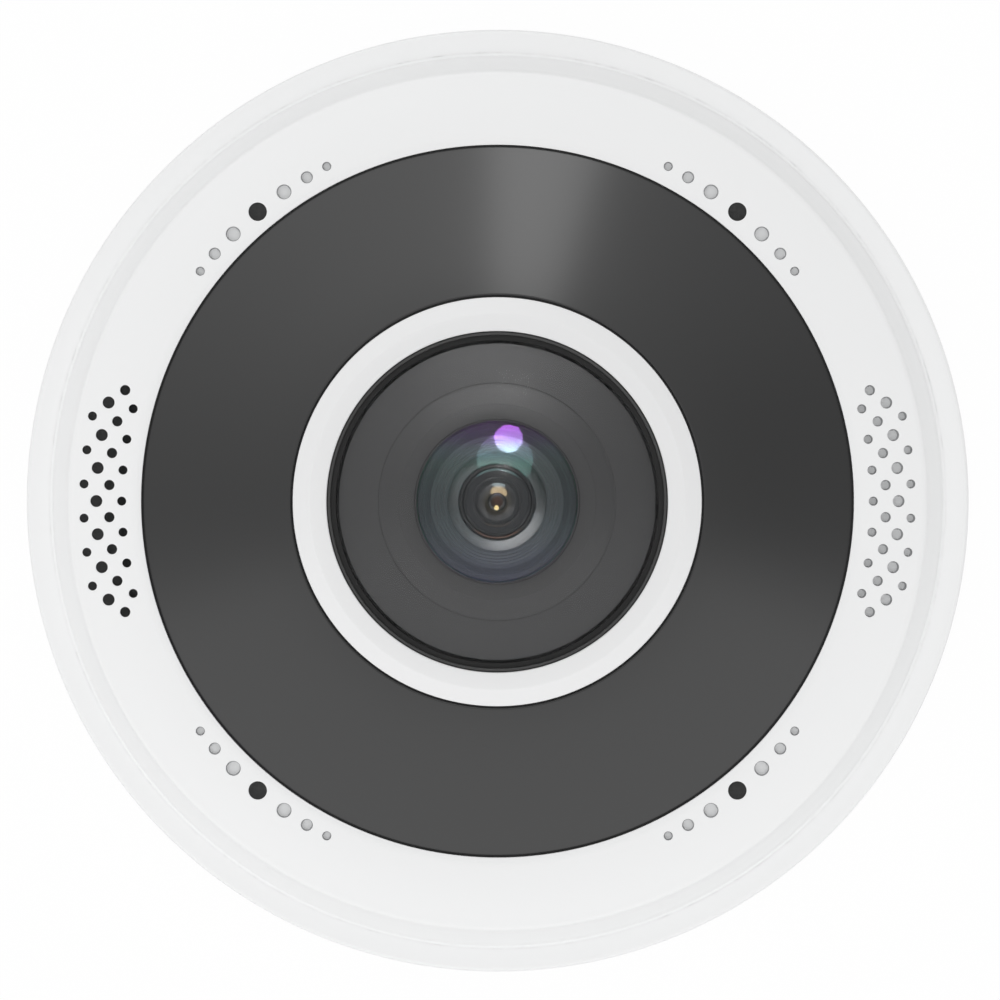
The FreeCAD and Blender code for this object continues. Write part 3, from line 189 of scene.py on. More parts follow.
def draw(points, closed):
    """Starts an object as one point and draws its outline from there, beside the lens axis."""
    bpy.ops.object.select_all(action="DESELECT")
    start = (points[0][0] * MM, 0, points[0][1] * MM)
    bpy.ops.mesh.primitive_circle_add(vertices=3, radius=MM, location=start)
    bpy.ops.object.transform_apply(location=True, rotation=True, scale=True)
    bpy.ops.object.mode_set(mode="EDIT")
    bpy.ops.mesh.select_all(action="SELECT")
    bpy.ops.mesh.merge(type="CENTER")
    way = points + [points[0]] if closed else points
    for here, there in zip(way, way[1:]):
        step = ((there[0] - here[0]) * MM, 0, (there[1] - here[1]) * MM)
        bpy.ops.mesh.extrude_vertices_move(TRANSFORM_OT_translate={"value": step})
    bpy.ops.mesh.select_all(action="SELECT")
    bpy.ops.mesh.remove_doubles(threshold=WELD)
    return bpy.context.object


def pick(piece):
    """Selects one piece alone and makes it the active one."""
    bpy.ops.object.select_all(action="DESELECT")
    bpy.context.view_layer.objects.active = piece
    piece.select_set(True)


def smooth(piece):
    """Shades a piece smooth, with its sharp edges kept."""
    pick(piece)
    bpy.ops.object.shade_smooth_by_angle(angle=SMOOTH_ANGLE)


def close_up(piece):
    """Merges a turned mesh's doubles, points its faces outwards and leaves edit mode."""
    bpy.ops.mesh.select_all(action="SELECT")
    bpy.ops.mesh.remove_doubles(threshold=WELD)
    bpy.ops.mesh.normals_make_consistent(inside=False)
    bpy.ops.object.mode_set(mode="OBJECT")
    smooth(piece)


def turned(name, outline, steps=TURN_STEPS):
    """A piece turned on the lens axis from the outline of its half section."""
    on_axis = outline[0][0] == 0 and outline[-1][0] == 0
    piece = draw(outline, not on_axis)
    piece.name = name
    bpy.ops.mesh.select_all(action="SELECT")
    bpy.ops.mesh.spin(steps=steps, angle=math.tau, center=(0, 0, 0), axis=(0, 0, 1))
    close_up(piece)
    return piece


def sector(name, inner, outer, low, high, middle, half_angle):
    """A solid between two radii and two heights, half_angle degrees each side of the middle."""
    piece = draw([(inner, low), (outer, low), (outer, high), (inner, high)], True)
    piece.name = name
    bpy.ops.mesh.select_all(action="SELECT")
    bpy.ops.mesh.edge_face_add()
    bpy.ops.mesh.spin(steps=SMALL_TURN_STEPS, angle=math.radians(2 * half_angle),
                      center=(0, 0, 0), axis=(0, 0, 1))
    close_up(piece)
    start = min(math.atan2(v.co.y, v.co.x) for v in piece.data.vertices)
    piece.matrix_world = Matrix.Rotation(math.radians(middle - half_angle) - start, 4, "Z")
    settle(piece)
    return piece


def settle(piece):
    """Puts a piece's place into its mesh, so that its object sits at the origin."""
    pick(piece)
    bpy.ops.object.transform_apply(location=True, rotation=True, scale=True)


def copies(pattern, places):
    """Copies of a piece at places given as matrices, each with its own mesh. The pattern goes."""
    made = []
    for place in places:
        twin = pattern.copy()
        twin.data = pattern.data.copy()
        bpy.context.scene.collection.objects.link(twin)
        twin.matrix_world = place
        made.append(twin)
    bpy.data.objects.remove(pattern)
    return made


def joined(name, parts):
    """Several objects made one, with its place in its mesh."""
    bpy.ops.object.select_all(action="DESELECT")
    for part in parts:
        part.select_set(True)
    bpy.context.view_layer.objects.active = parts[0]
    bpy.ops.object.join()
    whole = bpy.context.object
    whole.name = name
    settle(whole)
    return whole


def shape_with(piece, tool, operation):
    """Cuts a tool out of a piece, or adds it, and throws the tool away."""
    modifier = piece.modifiers.new(operation, "BOOLEAN")
    modifier.operation = operation
    modifier.solver = "EXACT"
    modifier.object = tool
    pick(piece)
    bpy.ops.object.modifier_apply(modifier=modifier.name)
    bpy.data.objects.remove(tool)
    smooth(piece)


def upright(places):
    """Matrices that stand a piece upright at places given in millimetres."""
    return [Matrix.Translation((x * MM, y * MM, 0)) for x, y in places]


def boss(radius, low, high):
    """A round bar on the lens axis between two heights."""
    return turned("bar", [(0, low), (radius, low), (radius, high), (0, high)], SMALL_TURN_STEPS)


def bar(low, high):
    """A rectangular bar between two corners, in millimetres."""
    bpy.ops.object.select_all(action="DESELECT")
    middle = [(a + b) / 2 * MM for a, b in zip(low, high)]
    bpy.ops.mesh.primitive_cube_add(size=1, location=middle)
    bpy.ops.transform.resize(value=[(b - a) * MM for a, b in zip(low, high)])
    settle(bpy.context.object)
    return bpy.context.object


def dress(piece, finish, slot, body, *nodes):
    """Gives a piece its finish and its body, and puts it in the place of CAD nodes."""
    piece.data.materials.clear()
    piece.data.materials.append(finish)
    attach(piece, body)
    if nodes:
        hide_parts(*nodes)
    return piece


# Shader groups and materials

def add_node(tree, kind, inputs=None, **settings):
    """A shader node with its settings. Each input given gets a value, or a link from an output."""
    made = tree.nodes.new(kind)
    for key, value in settings.items():
        setattr(made, key, value)
    for key, value in (inputs or {}).items():
        if isinstance(value, bpy.types.NodeSocket):
            tree.links.new(value, made.inputs[key])
        else:
            made.inputs[key].default_value = value
    return made


def work_out(tree, operation, first, second):
    """The result of a maths node. Each side is a number or an output."""
    return add_node(tree, "ShaderNodeMath", {0: first, 1: second}, operation=operation).outputs[0]


def blend(tree, share, start, end):
    """A value that goes from start to end while the share goes from 0 to 1."""
    way = work_out(tree, "MULTIPLY", share, work_out(tree, "SUBTRACT", end, start))
    return work_out(tree, "ADD", start, way)


def axis_distance(tree, place):
    """The distance of a place from the lens axis."""
    flat = add_node(tree, "ShaderNodeVectorMath", {0: place, 1: (1, 1, 0)}, operation="MULTIPLY")
    reach = add_node(tree, "ShaderNodeVectorMath", {0: flat.outputs["Vector"]}, operation="LENGTH")
    return reach.outputs["Value"]


def colour_band(tree, source, stops):
    """A colour ramp fed by a value, with stops given as (place, colour)."""
    ramp = add_node(tree, "ShaderNodeValToRGB", {"Fac": source})
    elements = ramp.color_ramp.elements
    while len(elements) < len(stops):
        elements.new(0.5)
    for element, (place, colour) in zip(elements, stops):
        element.position = place
        element.color = (*colour, 1)
    return ramp.outputs["Color"]


def first_channel(tree, colour):
    """The red of a colour, which stands for its value where the colour is grey."""
    return add_node(tree, "ShaderNodeSeparateColor", {"Color": colour}).outputs["Red"]


FINISH_INPUTS = ["Colour", "Shade", "Grain", "Roughness", "Spread"]
FINISH_OUTPUTS = ["Colour", "Roughness", "Height"]


def finish_group(name, pattern):
    """A group that varies colour and roughness and gives a relief, from a pattern's two values."""
    group = bpy.data.node_groups.new(name, "ShaderNodeTree")
    for side, labels in (("INPUT", FINISH_INPUTS), ("OUTPUT", FINISH_OUTPUTS)):
        for label in labels:
            kind = "NodeSocketColor" if label == "Colour" else "NodeSocketFloat"
            group.interface.new_socket(label, in_out=side, socket_type=kind)
    given = group.nodes.new("NodeGroupInput").outputs
    place = group.nodes.new("ShaderNodeTexCoord").outputs["Object"]
    fine, broad = pattern(group, place, given["Grain"])
    shift = work_out(group, "MULTIPLY", work_out(group, "SUBTRACT", broad, 0.5), given["Shade"])
    shade = add_node(group, "ShaderNodeHueSaturation", {
        "Color": given["Colour"], "Value": work_out(group, "ADD", shift, 1.0)})
    both = work_out(group, "MULTIPLY", work_out(group, "ADD", fine, broad), 0.5)
    spread = work_out(group, "MULTIPLY", work_out(group, "SUBTRACT", both, 0.5), given["Spread"])
    add_node(group, "NodeGroupOutput", {
        "Colour": shade.outputs["Color"], "Height": fine,
        "Roughness": work_out(group, "ADD", given["Roughness"], spread)})
    return group


def moulded_pattern(tree, place, grain):
    """Fine mould grain with a broad unevenness."""
    fine = add_node(tree, "ShaderNodeTexNoise", {"Scale": grain, "Detail": 2.0, "Vector": place})
    broad = add_node(tree, "ShaderNodeTexNoise", {"Scale": 30.0, "Detail": 3.0, "Vector": place})
    return fine.outputs["Fac"], broad.outputs["Fac"]


def turned_pattern(tree, place, grain):
    """Fine tool marks that run round the lens axis."""
    height = add_node(tree, "ShaderNodeSeparateXYZ", {"Vector": place}).outputs["Z"]
    along = work_out(tree, "ADD", axis_distance(tree, place), height)
    fine = add_node(tree, "ShaderNodeTexNoise", {
        "Scale": 1.0, "Detail": 3.0, "W": work_out(tree, "MULTIPLY", along, grain)},
        noise_dimensions="1D")
    broad = add_node(tree, "ShaderNodeTexNoise", {"Scale": 60.0, "Detail": 2.0, "Vector": place})
    return fine.outputs["Fac"], broad.outputs["Fac"]


def spangle_pattern(tree, place, grain):
    """Crystal patches of galvanised steel over a fine grain."""
    patches = add_node(tree, "ShaderNodeTexVoronoi", {
        "Scale": 220.0, "Randomness": 1.0, "Vector": place})
    fine = add_node(tree, "ShaderNodeTexNoise", {"Scale": grain, "Detail": 3.0, "Vector": place})
    return fine.outputs["Fac"], first_channel(tree, patches.outputs["Color"])


def woven_pattern(tree, place, grain):
    """Two crossing sets of threads."""
    threads = [add_node(tree, "ShaderNodeTexWave", {"Scale": grain, "Vector": place},
                        bands_direction=direction).outputs["Fac"] for direction in ("X", "Y")]
    return work_out(tree, "MAXIMUM", *threads), work_out(tree, "MULTIPLY", *threads)


def board_pattern(tree, place, grain):
    """Copper tracks under the lacquer of a circuit board."""
    tracks = add_node(tree, "ShaderNodeTexBrick", {
        "Color1": (1, 1, 1, 1), "Color2": (0.6, 0.6, 0.6, 1), "Mortar": (0, 0, 0, 1),
        "Mortar Size": 0.03, "Brick Width": 1.3, "Row Height": 0.17,
        "Scale": grain, "Vector": place})
    return tracks.outputs["Fac"], first_channel(tree, tracks.outputs["Color"])


groups = {
    "moulded": finish_group("moulded_surface", moulded_pattern),
    "turned": finish_group("turned_surface", turned_pattern),
    "spangled": finish_group("spangled_surface", spangle_pattern),
    "woven": finish_group("woven_surface", woven_pattern),
    "tracked": finish_group("tracked_surface", board_pattern),
}


def new_skin(name):
    """A new material of one Principled shader, its node tree and that shader's inputs."""
    material = bpy.data.materials.new(name)
    material.use_nodes = True
    tree = material.node_tree
    return material, tree, tree.nodes["Principled BSDF"].inputs


def vary(tree, skin, group, colour, shade, grain, roughness, spread):
    """Lets one of the groups vary a shader's colour and roughness, and returns its outputs."""
    values = dict(zip(FINISH_INPUTS, ((*colour, 1), shade, grain, roughness, spread)))
    varied = add_node(tree, "ShaderNodeGroup", values, node_tree=groups[group]).outputs
    tree.links.new(varied["Colour"], skin["Base Color"])
    tree.links.new(varied["Roughness"], skin["Roughness"])
    return varied


def finish(name, group, colour, roughness, metallic=0.0, shade=0.05, grain=2500, spread=0.08,
           relief=0.1, specular=0.5):
    """An opaque material, varied and given its relief by one of the groups."""
    material, tree, skin = new_skin(name)
    skin["Metallic"].default_value = metallic
    skin["Specular IOR Level"].default_value = specular
    varied = vary(tree, skin, group, colour, shade, grain, roughness, spread)
    bump = add_node(tree, "ShaderNodeBump", {
        "Strength": relief, "Distance": RELIEF_DEPTH, "Height": varied["Height"]})
    tree.links.new(bump.outputs["Normal"], skin["Normal"])
    return material


def clear_glass(name, colour, alpha, roughness, specular=0.5):
    """A see-through skin with a constant alpha and slight smears in its roughness."""
    material, tree, skin = new_skin(name)
    skin["Alpha"].default_value = alpha
    skin["Specular IOR Level"].default_value = specular
    vary(tree, skin, "moulded", colour, 0.1, 400, roughness, roughness / 4)
    return material


RELIEF_DEPTH = 0.00005
WHITE = (0.868, 0.872, 0.874)

# Each finish: group, colour, roughness, metallic, shade, grain, spread, relief and specular level
FINISHES = {
    "galvanised_steel": ("spangled", (0.62, 0.63, 0.64), 0.38, 1.0, 0.25, 1800, 0.2),
    "white_metal": ("moulded", WHITE, 0.35, 0.0, 0.05, 2500, 0.08, 0.15),
    "white_plastic": ("moulded", WHITE, 0.36, 0.0, 0.012, 3200, 0.06, 0.05),
    # The two dimple finishes are painted shade: darker copies of the white plastic for the floors
    # and walls of the dimples
    "dimple_floor_painted_shade": ("moulded", (0.71, 0.715, 0.72), 0.6, 0.0, 0.02, 3200, 0.06),
    "dimple_wall_painted_shade": ("moulded", (0.36, 0.365, 0.37), 0.6, 0.0, 0.02, 3200, 0.06),
    "screw_steel": ("turned", (0.6, 0.6, 0.61), 0.28, 1.0, 0.1, 9000, 0.1),
    "black_rubber": ("moulded", (0.011, 0.011, 0.011), 0.5, 0.0, 0.2, 4000, 0.1),
    # Painted shade for the seal's lower inner band: darker and duller than the rubber
    "seal_band_painted_shade": ("moulded", (0.009, 0.009, 0.009), 0.6, 0.0, 0.2, 4000, 0.1, 0.1, 0.2),
    # The bezel's white is a darker copy of the white plastic: painted shade
    "bezel_white_painted_shade": ("moulded", (0.81, 0.812, 0.815), 0.4, 0.0, 0.012, 3200, 0.06, 0.05),
    "smoked_window": ("moulded", (0.012, 0.0122, 0.0124), 0.2, 0.0, 0.1, 1500, 0.02, 0.01, 0.38),
    "black_plastic": ("moulded", (0.052, 0.052, 0.053), 0.36, 0.0, 0.06, 3000, 0.04, 0.01, 0.44),
    "cast_aluminium": ("moulded", (0.55, 0.56, 0.57), 0.5, 1.0, 0.1, 1500, 0.15, 0.4),
    "circuit_board": ("tracked", (0.012, 0.075, 0.035), 0.3, 0.0, 0.5, 160, 0.1, 0.3),
    "chip_black": ("moulded", (0.02, 0.02, 0.021), 0.6, 0.0, 0.15, 6000, 0.1, 0.2),
    "thermal_rubber": ("moulded", (0.45, 0.5, 0.58), 0.7, 0.0, 0.1, 3000, 0.1, 0.2),
    "jack_metal": ("spangled", (0.66, 0.66, 0.65), 0.26, 1.0, 0.06, 3000, 0.1),
    "terminal_plastic": ("moulded", (0.03, 0.2, 0.07), 0.42, 0.0, 0.05, 2500, 0.08, 0.2),
    "white_button": ("moulded", (0.8, 0.8, 0.79), 0.4),
    "capacitor_can": ("turned", (0.5, 0.51, 0.53), 0.3, 1.0),
    "led_plastic": ("moulded", (0.2, 0.16, 0.2), 0.12, 0.0, 0.05, 900, 0.08, 0.05),
    "sensor_ceramic": ("moulded", (0.09, 0.07, 0.09), 0.25),
    "magnet_metal": ("moulded", (0.35, 0.35, 0.36), 0.35, 1.0),
    "copper_wire": ("woven", (0.72, 0.33, 0.16), 0.3, 1.0, 0.2, 2400, 0.1, 0.6),
    "lens_metal": ("turned", (0.125, 0.133, 0.14), 0.35, 0.0, 0.04, 4000, 0.04, 0.01, 0.7),
    "lens_black": ("turned", (0.085, 0.088, 0.094), 0.5, 0.0, 0.1, 4000, 0.05, 0.01, 0.3),
    "lens_gloss": ("turned", (0.07, 0.073, 0.078), 0.12, 0.0, 0.1, 3000, 0.02, 0.0, 0.25),
    # The two lens shade finishes are painted shade: darker copies of the lens metal for the trap's
    # slopes and outer zone
    "lens_shade": ("turned", (0.08, 0.087, 0.095), 0.4, 0.0, 0.1, 3000, 0.02, 0.0),
    "lens_deep_shade": ("turned", (0.055, 0.059, 0.066), 0.4, 0.0, 0.1, 3000, 0.02, 0.0),
    "lens_ring_grey": ("turned", (0.13, 0.133, 0.136), 0.32, 1.0, 0.03, 4000, 0.04, 0.01),
    "acoustic_cloth": ("woven", (0.085, 0.085, 0.085), 0.85, 0.0, 0.4, 1600, 0.1, 0.8),
    "foam": ("moulded", (0.05, 0.05, 0.05), 0.9, 0.0, 0.3, 1800, 0.1, 0.8),
    "cone_film": ("moulded", (0.3, 0.26, 0.2), 0.35, 0.0, 0.05, 800, 0.08, 0.1),
}

# Each see-through skin: colour, alpha, roughness and specular level
GLASSES = {
    "tinted_dome": ((0.06, 0.061, 0.063), 0.14, 0.08, 0.1),
    "dome_inside": ((0.05, 0.051, 0.053), 0.14, 0.08, 0.0),
    "filter_glass": ((0.25, 0.5, 0.6), 0.6, 0.05),
    "clear_glass": ((0.7, 0.8, 0.8), 0.3, 0.05),
    "lens_glass": ((0.05, 0.08, 0.08), 0.06, 0.05),
}
finishes = {name: finish(name, *values) for name, values in FINISHES.items()}
finishes.update({name: clear_glass(name, *values) for name, values in GLASSES.items()})


def radius_and_across(tree):
    """The distance of a point from the lens axis and its Y coordinate, both in millimetres."""
    place = tree.nodes.new("ShaderNodeTexCoord").outputs["Object"]
    across = add_node(tree, "ShaderNodeSeparateXYZ", {"Vector": place}).outputs["Y"]
    return [work_out(tree, "MULTIPLY", length, 1 / MM)
            for length in (axis_distance(tree, place), across)]


def coated_glass(name, colours, strengths, reach_end, roughness):
    """Lens glass with a coating: its colour follows Y, a painted reflection tint, and its strength
    the distance from the axis.
    """
    material, tree, skin = new_skin(name)
    skin["Metallic"].default_value = 1.0
    skin["Roughness"].default_value = roughness
    reach, across = radius_and_across(tree)
    share = work_out(tree, "ADD", work_out(tree, "DIVIDE", across, 2 * reach_end), 0.5)
    tint = colour_band(tree, share, [(0.5 + y / (2 * reach_end), colour) for y, colour in colours])
    strength = colour_band(tree, work_out(tree, "DIVIDE", reach, reach_end),
                           [(r / reach_end, (value, value, value)) for r, value in strengths])
    tree.links.new(tint, skin["Base Color"])
    tree.links.new(first_channel(tree, strength), skin["Alpha"])
    return material


# Coating colours of the front glass by Y, which paint the colours of its reflections, and their
# strength by the distance from the axis

FRONT_PAINTED_TINTS = [
    (-12.0, (0.5, 0.55, 0.95)), (-8.0, (0.5, 0.6, 0.85)), (-5.0, (0.35, 0.52, 0.6)),
    (0.0, (0.2, 0.42, 0.46)), (4.0, (0.2, 0.5, 0.45)), (6.0, (0.35, 0.75, 0.65)),
    (7.3, (0.45, 0.75, 0.85)), (8.2, (0.6, 0.85, 1.0)), (9.2, (0.55, 0.45, 0.97)),
    (10.3, (0.5, 0.22, 0.9)), (11.8, (0.5, 0.12, 0.8)),
]
FRONT_STRENGTHS = [
    (0.0, 0.0), (BLACK_DISC - 0.02, 0.0), (BLACK_DISC + 0.02, 0.035), (10.2, 0.035),
    (10.4, 0.026), (10.9, 0.026), (11.15, 0.032), (12.4, 0.03),
]
front_coat = coated_glass("front_coating_painted_tint", FRONT_PAINTED_TINTS, FRONT_STRENGTHS, GLASS_RADIUS, 0.01)


def painted_reflection_glass(name, colours, reach_end, roughness):
    """Dark glossy glass with painted reflections: a dim tint that follows the distance from the
    axis.
    """
    material, tree, skin = new_skin(name)
    skin["Roughness"].default_value = roughness
    skin["Specular IOR Level"].default_value = 0.6
    share = work_out(tree, "DIVIDE", radius_and_across(tree)[0], reach_end)
    tint = colour_band(tree, share, [(r / reach_end, colour) for r, colour in colours])
    tree.links.new(tint, skin["Base Color"])
    return material


# The warm rings of the inner glass and the brown glow in the pupil are painted reflections
PUPIL_RADIUS = 1.38
INNER_PAINTED_REFLECTIONS = [(1.42, (0.11, 0.1, 0.075)), (1.8, (0.08, 0.07, 0.05)), (2.4, (0.03, 0.03, 0.03)),
                 (2.7, (0.05, 0.052, 0.055)), (3.1, (0.1, 0.104, 0.108))]
PUPIL_PAINTED_REFLECTIONS = [(0.0, (0.14, 0.07, 0.05)), (0.7, (0.1, 0.05, 0.035)), (1.1, (0.004, 0.004, 0.004))]
finishes["inner_glass"] = painted_reflection_glass("inner_glass", INNER_PAINTED_REFLECTIONS, 3.0, 0.08)
finishes["pupil_glass"] = painted_reflection_glass("pupil_glass", PUPIL_PAINTED_REFLECTIONS, PUPIL_RADIUS, 0.12)


# Casings

def face_level(radius):
    """Height of the crowned front face at a radius."""
    share = (radius - COVER_BORE) / (FACE_RADIUS - COVER_BORE)
    return FACE_HIGH - (FACE_HIGH - FACE_LOW) * share + 4 * FACE_CROWN * share * (1 - share)


def face_tilt(radius):
    """How far the front face's normal leans outwards at a radius, as an angle."""
    near = 0.05
    return math.atan((face_level(radius - near) - face_level(radius + near)) / (2 * near))


def along_normal(radius, angle):
    """The place of a tool that goes square into the front face at a radius and an angle."""
    x, y = polar(radius, angle)
    return (Matrix.Translation((x * MM, y * MM, face_level(radius) * MM))
            @ Matrix.Rotation(math.radians(angle), 4, "Z")
            @ Matrix.Rotation(face_tilt(radius), 4, "Y"))


def dimple_tool(radius, depth):
    """A round tool with a soft bottom corner and a broken mouth edge, for a blind dimple."""
    corner, mouth, above = 0.2, 0.06, 0.6
    return turned("dimple_tool", [
        (0, -depth), (radius - corner, -depth),
        *bow((radius - corner, -depth), (radius, corner - depth), -corner, 3),
        (radius, -mouth), (radius + mouth, 0), (radius + mouth, above), (0, above)],
        SMALL_TURN_STEPS)


def paint_dimple_shade(cover, dimples):
    """Paints shade into each dimple below its bright mouth: a darker floor and a much darker wall.
    """
    bright_mouth, slack, rim, floor_facing = 0.3, 0.1, 0.02, 0.97
    cover.data.materials.append(finishes["dimple_floor_painted_shade"])
    cover.data.materials.append(finishes["dimple_wall_painted_shade"])
    for face in cover.data.polygons:
        x, y, z = (value / MM for value in face.center)
        sunk = bright_mouth < face_level(math.hypot(x, y)) - z < DIMPLE_DEPTH + slack
        if sunk and any(math.hypot(x - a, y - b) < hole + rim for a, b, hole in dimples):
            face.material_index = 1 if face.normal.z > floor_facing else 2


def make_front_cover():
    """White front cover: skirt, hollow side, crowned face, ledge, bosses, grille and dimples."""
    side_hollow, side_lean, face_segments, side_segments = 22.0, 0.25, 8, 8
    edge_round, bore_round, inner_corner = 1.0, 0.12, 0.6
    foot_radius, foot_level, foot_round = 69.0, RIM_TOP + 0.02, 0.5
    edge_from = (FACE_RADIUS, FACE_EDGE)
    edge_to = (FACE_RADIUS - edge_round, FACE_LOW)
    face_arc = cap_radius((FACE_RADIUS - COVER_BORE - edge_round) / 2, FACE_CROWN)
    face_inside = FACE_RADIUS - COVER_WALL
    ledge_root = COVER_BORE + COVER_WALL / 3
    side_from = (COVER_RADIUS - side_lean, foot_level + foot_round)
    outline = [(COVER_INSIDE, COVER_BOTTOM), (COVER_RADIUS, COVER_BOTTOM),
               (COVER_RADIUS, foot_level), (foot_radius, foot_level)]
    outline += bow(outline[-1], side_from, foot_round, FILLET_STEPS)
    outline += bow(side_from, edge_from, side_hollow, side_segments)
    outline += bow(edge_from, edge_to, -edge_round, FILLET_STEPS)
    outline += bow(edge_to, (COVER_BORE + bore_round, FACE_HIGH), -face_arc, face_segments)
    outline += bow(outline[-1], (COVER_BORE, FACE_HIGH - bore_round), -bore_round, 2)
    outline += [(COVER_BORE, LEDGE_TOP), (LEDGE_BORE, LEDGE_TOP), (LEDGE_BORE, LEDGE_UNDER),
                (ledge_root, LEDGE_UNDER),
                (COVER_BORE + COVER_WALL * 0.6, face_level(ledge_root) - COVER_WALL),
                (face_inside - inner_corner, face_level(face_inside) - COVER_WALL),
                (face_inside, FACE_EDGE - COVER_WALL / 2), (COVER_INSIDE, RIM_TOP)]
    cover = turned("front_cover_shell", outline)

    boss_radius, pilot_radius, pilot_depth = 3.2, 1.25, 9.0
    mic_boss, mic_pocket, mic_wall, mic_depth = 4.9, 4.05, 3.0, 2.9
    speaker_roof, speaker_depth, box_half, cavity_half = 2.3, 1.7, 20.0, 18.0
    roof = face_level(ROW_RADII[3]) - speaker_roof
    seat = roof - speaker_depth
    inside_face = face_level(face_inside) - COVER_WALL / 3
    mic_top = face_level(ROW_RADII[0]) - mic_wall
    mic_low = mic_top - mic_depth
    mics, screws = upright(ring_of(ROW_RADII[0], MIC_ANGLES)), upright(ring_of(*SCREWS))
    bosses = copies(boss(boss_radius, BULKHEAD_TOP, inside_face), screws)
    bosses += copies(boss(mic_boss, mic_low, LEDGE_TOP), mics)
    bosses.append(sector("speaker_box", *SPEAKER_BOX, seat, inside_face, GRILLE_ANGLE, box_half))
    for part in bosses:
        shape_with(cover, part, "UNION")

    tools = copies(boss(pilot_radius, BULKHEAD_TOP - THROUGH, BULKHEAD_TOP + pilot_depth), screws)
    tools += copies(boss(mic_pocket, mic_low - THROUGH, mic_top), mics)
    tools.append(sector("speaker_cavity", *SPEAKER_CAVITY, seat - THROUGH, roof, GRILLE_ANGLE,
                        cavity_half))
    rows = [(radius, [HOLE_PITCH * n for n in steps], hole, DIMPLE_DEPTH)
            for radius, steps, hole in zip(ROW_RADII, ROW_STEPS, ROW_HOLES)]
    rows += [(ROW_RADII[0], [angle + side * step for angle in MIC_ANGLES for side in (-1, 1)],
              hole, MIC_DIMPLE_DEPTH) for step, hole in MIC_DIMPLES]
    dimples = []
    for radius, angles, hole, depth in rows:
        dimples += [(x, y, hole) for x, y in ring_of(radius, angles)]
        places = [along_normal(radius, angle) for angle in angles]
        tools += copies(dimple_tool(hole, depth), places)
    shape_with(cover, joined("cover_pockets", tools), "DIFFERENCE")

    # The openings are cut after the pockets below them, so that no skin is left between the two
    tools = []
    for radius, steps, hole in zip(ROW_RADII, ROW_STEPS, ROW_HOLES):
        places = upright(ring_of(radius, [GRILLE_ANGLE + HOLE_PITCH * n for n in steps]))
        tools += copies(boss(hole, roof - THROUGH, FACE_HIGH + THROUGH), places)
    tools += copies(boss(MIC_HOLE, mic_top - THROUGH, FACE_HIGH + THROUGH), mics)
    shape_with(cover, joined("cover_openings", tools), "DIFFERENCE")
    dress(cover, finishes["white_plastic"], "white_plastic", "camera", "front_cover")
    paint_dimple_shade(cover, dimples)


def make_rear_housing():
    """White rear casing: rim with a soft front edge, bulkhead, posts, seal groove and openings."""
    groove_outer, groove_inner, groove_floor = 68.35, 66.55, 7.6
    outline = rounded([
        (0, BULKHEAD_UNDER), (RECESS_RADIUS, BULKHEAD_UNDER, 0.4), (RECESS_RADIUS, REAR_GAP, 0.3),
        (RIM_RADIUS, REAR_GAP, 0.4), (RIM_RADIUS, RIM_TOP, 0.6), (RIM_INSIDE, RIM_TOP, 0.15),
        (RIM_INSIDE, BULKHEAD_TOP), (groove_outer, BULKHEAD_TOP), (groove_outer, groove_floor),
        (groove_inner, groove_floor), (groove_inner, BULKHEAD_TOP), (0, BULKHEAD_TOP)], False)
    housing = turned("rear_housing_shell", outline)
    posts, screws, studs = (upright(ring_of(*circle)) for circle in (POSTS, SCREWS, STUDS))
    post_radius, post_top, pilot_radius, pilot_floor = 3.0, 18.0, 1.4, 9.0
    screw_hole, screw_head, head_depth, stud_hole, lock_level = 1.3, 2.4, 1.3, 1.55, 3.2
    low, high = BULKHEAD_UNDER - THROUGH, BULKHEAD_TOP + THROUGH
    for post in copies(boss(post_radius, BULKHEAD_TOP - THROUGH, post_top), posts):
        shape_with(housing, post, "UNION")
    tools = [bar((*near, low), (*far, high)) for near, far in INLETS]
    tools += copies(boss(RESET_HOLE, low, high), upright([RESET_PLACE]))
    tools += copies(boss(pilot_radius, pilot_floor, post_top + THROUGH), posts)
    tools += copies(boss(screw_hole, low, high), screws)
    tools += copies(boss(screw_head, low, BULKHEAD_UNDER + head_depth), screws)
    tools += copies(boss(stud_hole, low, high), studs)
    side = Matrix.Translation((0, 0, lock_level * MM)) @ Matrix.Rotation(math.radians(90), 4, "X")
    tools += copies(boss(stud_hole, 68.0, 74.0), [side])
    for tool in tools:
        shape_with(housing, tool, "DIFFERENCE")
    dress(housing, finishes["white_plastic"], "white_plastic", "camera", "rear_housing")


# Window, bezel, seal, dome and the shroud inside it

def make_window():
    """Smoked conical window with softly rounded edges."""
    foot, bore_under, foot_under = 52.5, 30.42, 21.58
    outline = rounded([
        (foot, LEDGE_TOP), (WINDOW_RADIUS, LEDGE_TOP), (WINDOW_RADIUS, WINDOW_EDGE, 0.3),
        (WINDOW_BORE, WINDOW_TOP, 0.3), (WINDOW_BORE, bore_under), (foot, foot_under)])
    return dress(turned("smoked_window_cone", outline), finishes["smoked_window"],
                 "smoked_window", "camera", "ir_window")


def make_bezel():
    """White bezel: a sloped outer zone, a soft edge and a nearly flat inner zone."""
    inner, step, crest, outer = 26.2, 29.3, 28.9, 31.4
    base, outer_top, crest_top, inner_top = 30.8, 33.05, 34.45, 34.7
    outline = rounded([
        (step, base), (outer, base), (outer, outer_top, 0.25), (crest, crest_top, 0.9),
        (inner, inner_top, 0.2), (inner, SEAL_TOP), (step, SEAL_TOP)])
    # Its finish paints shade: the bezel is a darker white than the cover
    dress(turned("bezel_band", outline), finishes["bezel_white_painted_shade"], "white_plastic", "camera",
          "bezel_ring")


